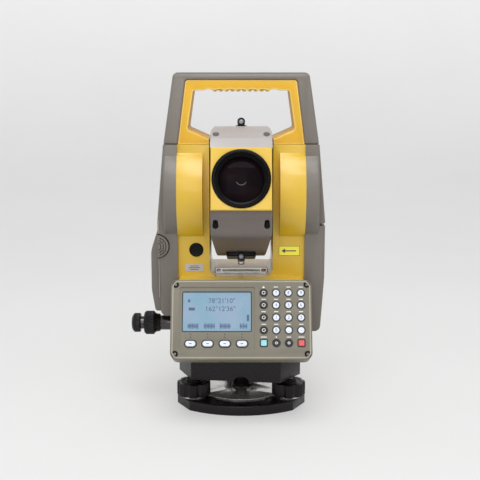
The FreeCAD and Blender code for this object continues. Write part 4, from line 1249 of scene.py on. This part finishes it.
def collimators():
    """The two sighting tubes on their blocks, each with a small window at both ends."""
    tube_r = 3.8
    bore_r = 2.5
    rear = -16.0
    tubes = ((64.0, 33.0), (-69.8, 29.0))
    bm = bmesh.new()
    for level, front in tubes:
        profile = [(rear, 2.6), (rear, tube_r - 0.5), (rear + 0.5, tube_r), (rear + 3.0, tube_r),
                   (rear + 3.4, tube_r - 0.4), (rear + 4.0, tube_r - 0.4), (rear + 4.4, tube_r),
                   (front - 0.5, tube_r), (front, tube_r - 0.5), (front, 2.6), (front - 1.2, bore_r),
                   (rear + 1.2, bore_r), (rear, 2.6)]
        lathe(bm, SCOPE.at(0, level), SCOPE.out, profile, segments=48)
    top_block = Plane(SCOPE.at(0, 60.0), SCOPE.right, -SCOPE.out)
    rounded_slab(bm, top_block, (12, 30, 2.5), (0, -5), 0, 2.9, 0.6)
    bottom_block = Plane(SCOPE.at(0, -64.5), SCOPE.right, SCOPE.out)
    rounded_slab(bm, bottom_block, (29, 38, 2.5), (0, 5), 0, 4.5, 0.8)
    sights = make_piece("sight_tubes", bm, "barrel_black", "telescope")
    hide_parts("sights")
    bm = bmesh.new()
    for level, front in tubes:
        for at, out in ((front, SCOPE.out), (-rear, -SCOPE.out)):
            profile = [(at - 2.4, bore_r), (at - 1.1, bore_r), (at - 0.8, 1.4), (at - 0.7, 0)]
            lathe(bm, SCOPE.at(0, level), out, profile, segments=32)
    # The windows' pale grey is a painted highlight.
    make_piece("sight_windows", bm, "sight_glass", "telescope")
    profile = [(0, 3.2), (5.0, 3.2), (5.6, 2.9), (6.0, 2.2), (6.0, 0)]
    turned("sight_lock_pin", SCOPE.at(0, -70, 6), -SCOPE.up, profile, 40, "level_metal", "telescope")


def cover_details(top_cover, bottom_cover):
    """Sunk screws in the top cover, dark recesses in the bottom one, and the seams at the body."""
    side_x = 24.4
    top_level = 46.2
    bottom_level = -43.4
    reach = 20.0
    head = [(-0.5, 2.6), (1.6, 2.6), (2.0, 2.2), (2.0, 1.0), (1.2, 0.9), (1.2, 0)]
    outline = arc(2.9, 180, 180, 20) + [(2.2, 4.4), (1.2, 5.4), (-1.2, 5.4), (-2.2, 4.4)]
    floor_outline = [(0.97 * x, 0.97 * y) for x, y in outline]
    heads = bmesh.new()
    top_holes = bmesh.new()
    bottom_holes = bmesh.new()
    floors = bmesh.new()
    for side in (-1, 1):
        at = SCOPE.at(side * side_x, top_level, 50.0)
        lathe(top_holes, at, SCOPE.out, [(0, 3.1), (reach, 3.1)], segments=40)
        lathe(heads, at, SCOPE.out, head, segments=36)
        recess = Plane(SCOPE.at(side * side_x, bottom_level, 57.5), SCOPE.right, SCOPE.up)
        slab(bottom_holes, recess, outline, 0, reach)
        slab(floors, recess, floor_outline, -0.2, 0.3)
    make_piece("cover_screws_front", heads, "screw_grey", "telescope")
    make_piece("cover_recess_floors", floors, "screw_black", "telescope")
    bored(top_cover, top_holes)
    bored(bottom_cover, bottom_holes)
    rear, front = -44.8, 69.8
    bm = bmesh.new()
    for level, half_x in ((30.0, 29.15), (-30.0, 29.1)):
        strip = Plane(SCOPE.at(0, level), SCOPE.right, SCOPE.out)
        corners = [(-half_x, rear, 1), (half_x, rear, 1), (half_x, front, 1), (-half_x, front, 1)]
        slab(bm, strip, rounded_points(corners, 4), -0.5, 0.5)
    make_piece("cover_seams", bm, "seam_dark", "telescope")


# ---------------------------------------------------------------- build

dress_cad_nodes()

EDGE_WIDTHS = {
    "base_plate": 0.5, "tribrach_body": 0.9, "clamp_lever": 0.7, "yoke_frame": 1.4, "left_case": 0.8,
    "right_case": 0.8, "battery_pack": 1.2, "battery_latch": 0.3, "handle_shell": 1.8, "handle_grip": 0.9,
    "keyboard_housing": 0.3, "telescope_body": 0.8,
}
for shell, edge_width in EDGE_WIDTHS.items():
    softened(shell, edge_width)
softened("spring_plate", 0.2, "plated_steel")
TOP_COVER = softened("telescope_top_cover", 1.2)
# The bottom cover takes the darker copy of the cover grey, painted shade for its downward face.
BOTTOM_COVER = softened("telescope_bottom_cover", 1.2, "cover_dark")

foot_screws()
base_thread()
circular_level()
tribrach_trim()
pillar_cap()
blank_plate()
arrow_plate()
plate_level()
plummet()
rear_details()
battery_details()
knob_pair("horizontal", Vector((-62, -15, 83.5)), -X_AXIS)
knob_pair("vertical", Vector((-47, 35, 163)), Y_AXIS)
panel_trim()
panel_screws()
key_surrounds()
key_legends()
printed_marks()
screen_characters()
objective()
scope_rings()
collimators()
cover_details(TOP_COVER, BOTTOM_COVER)
grip_ridges()
backdrop()
studio_light()
front_camera()
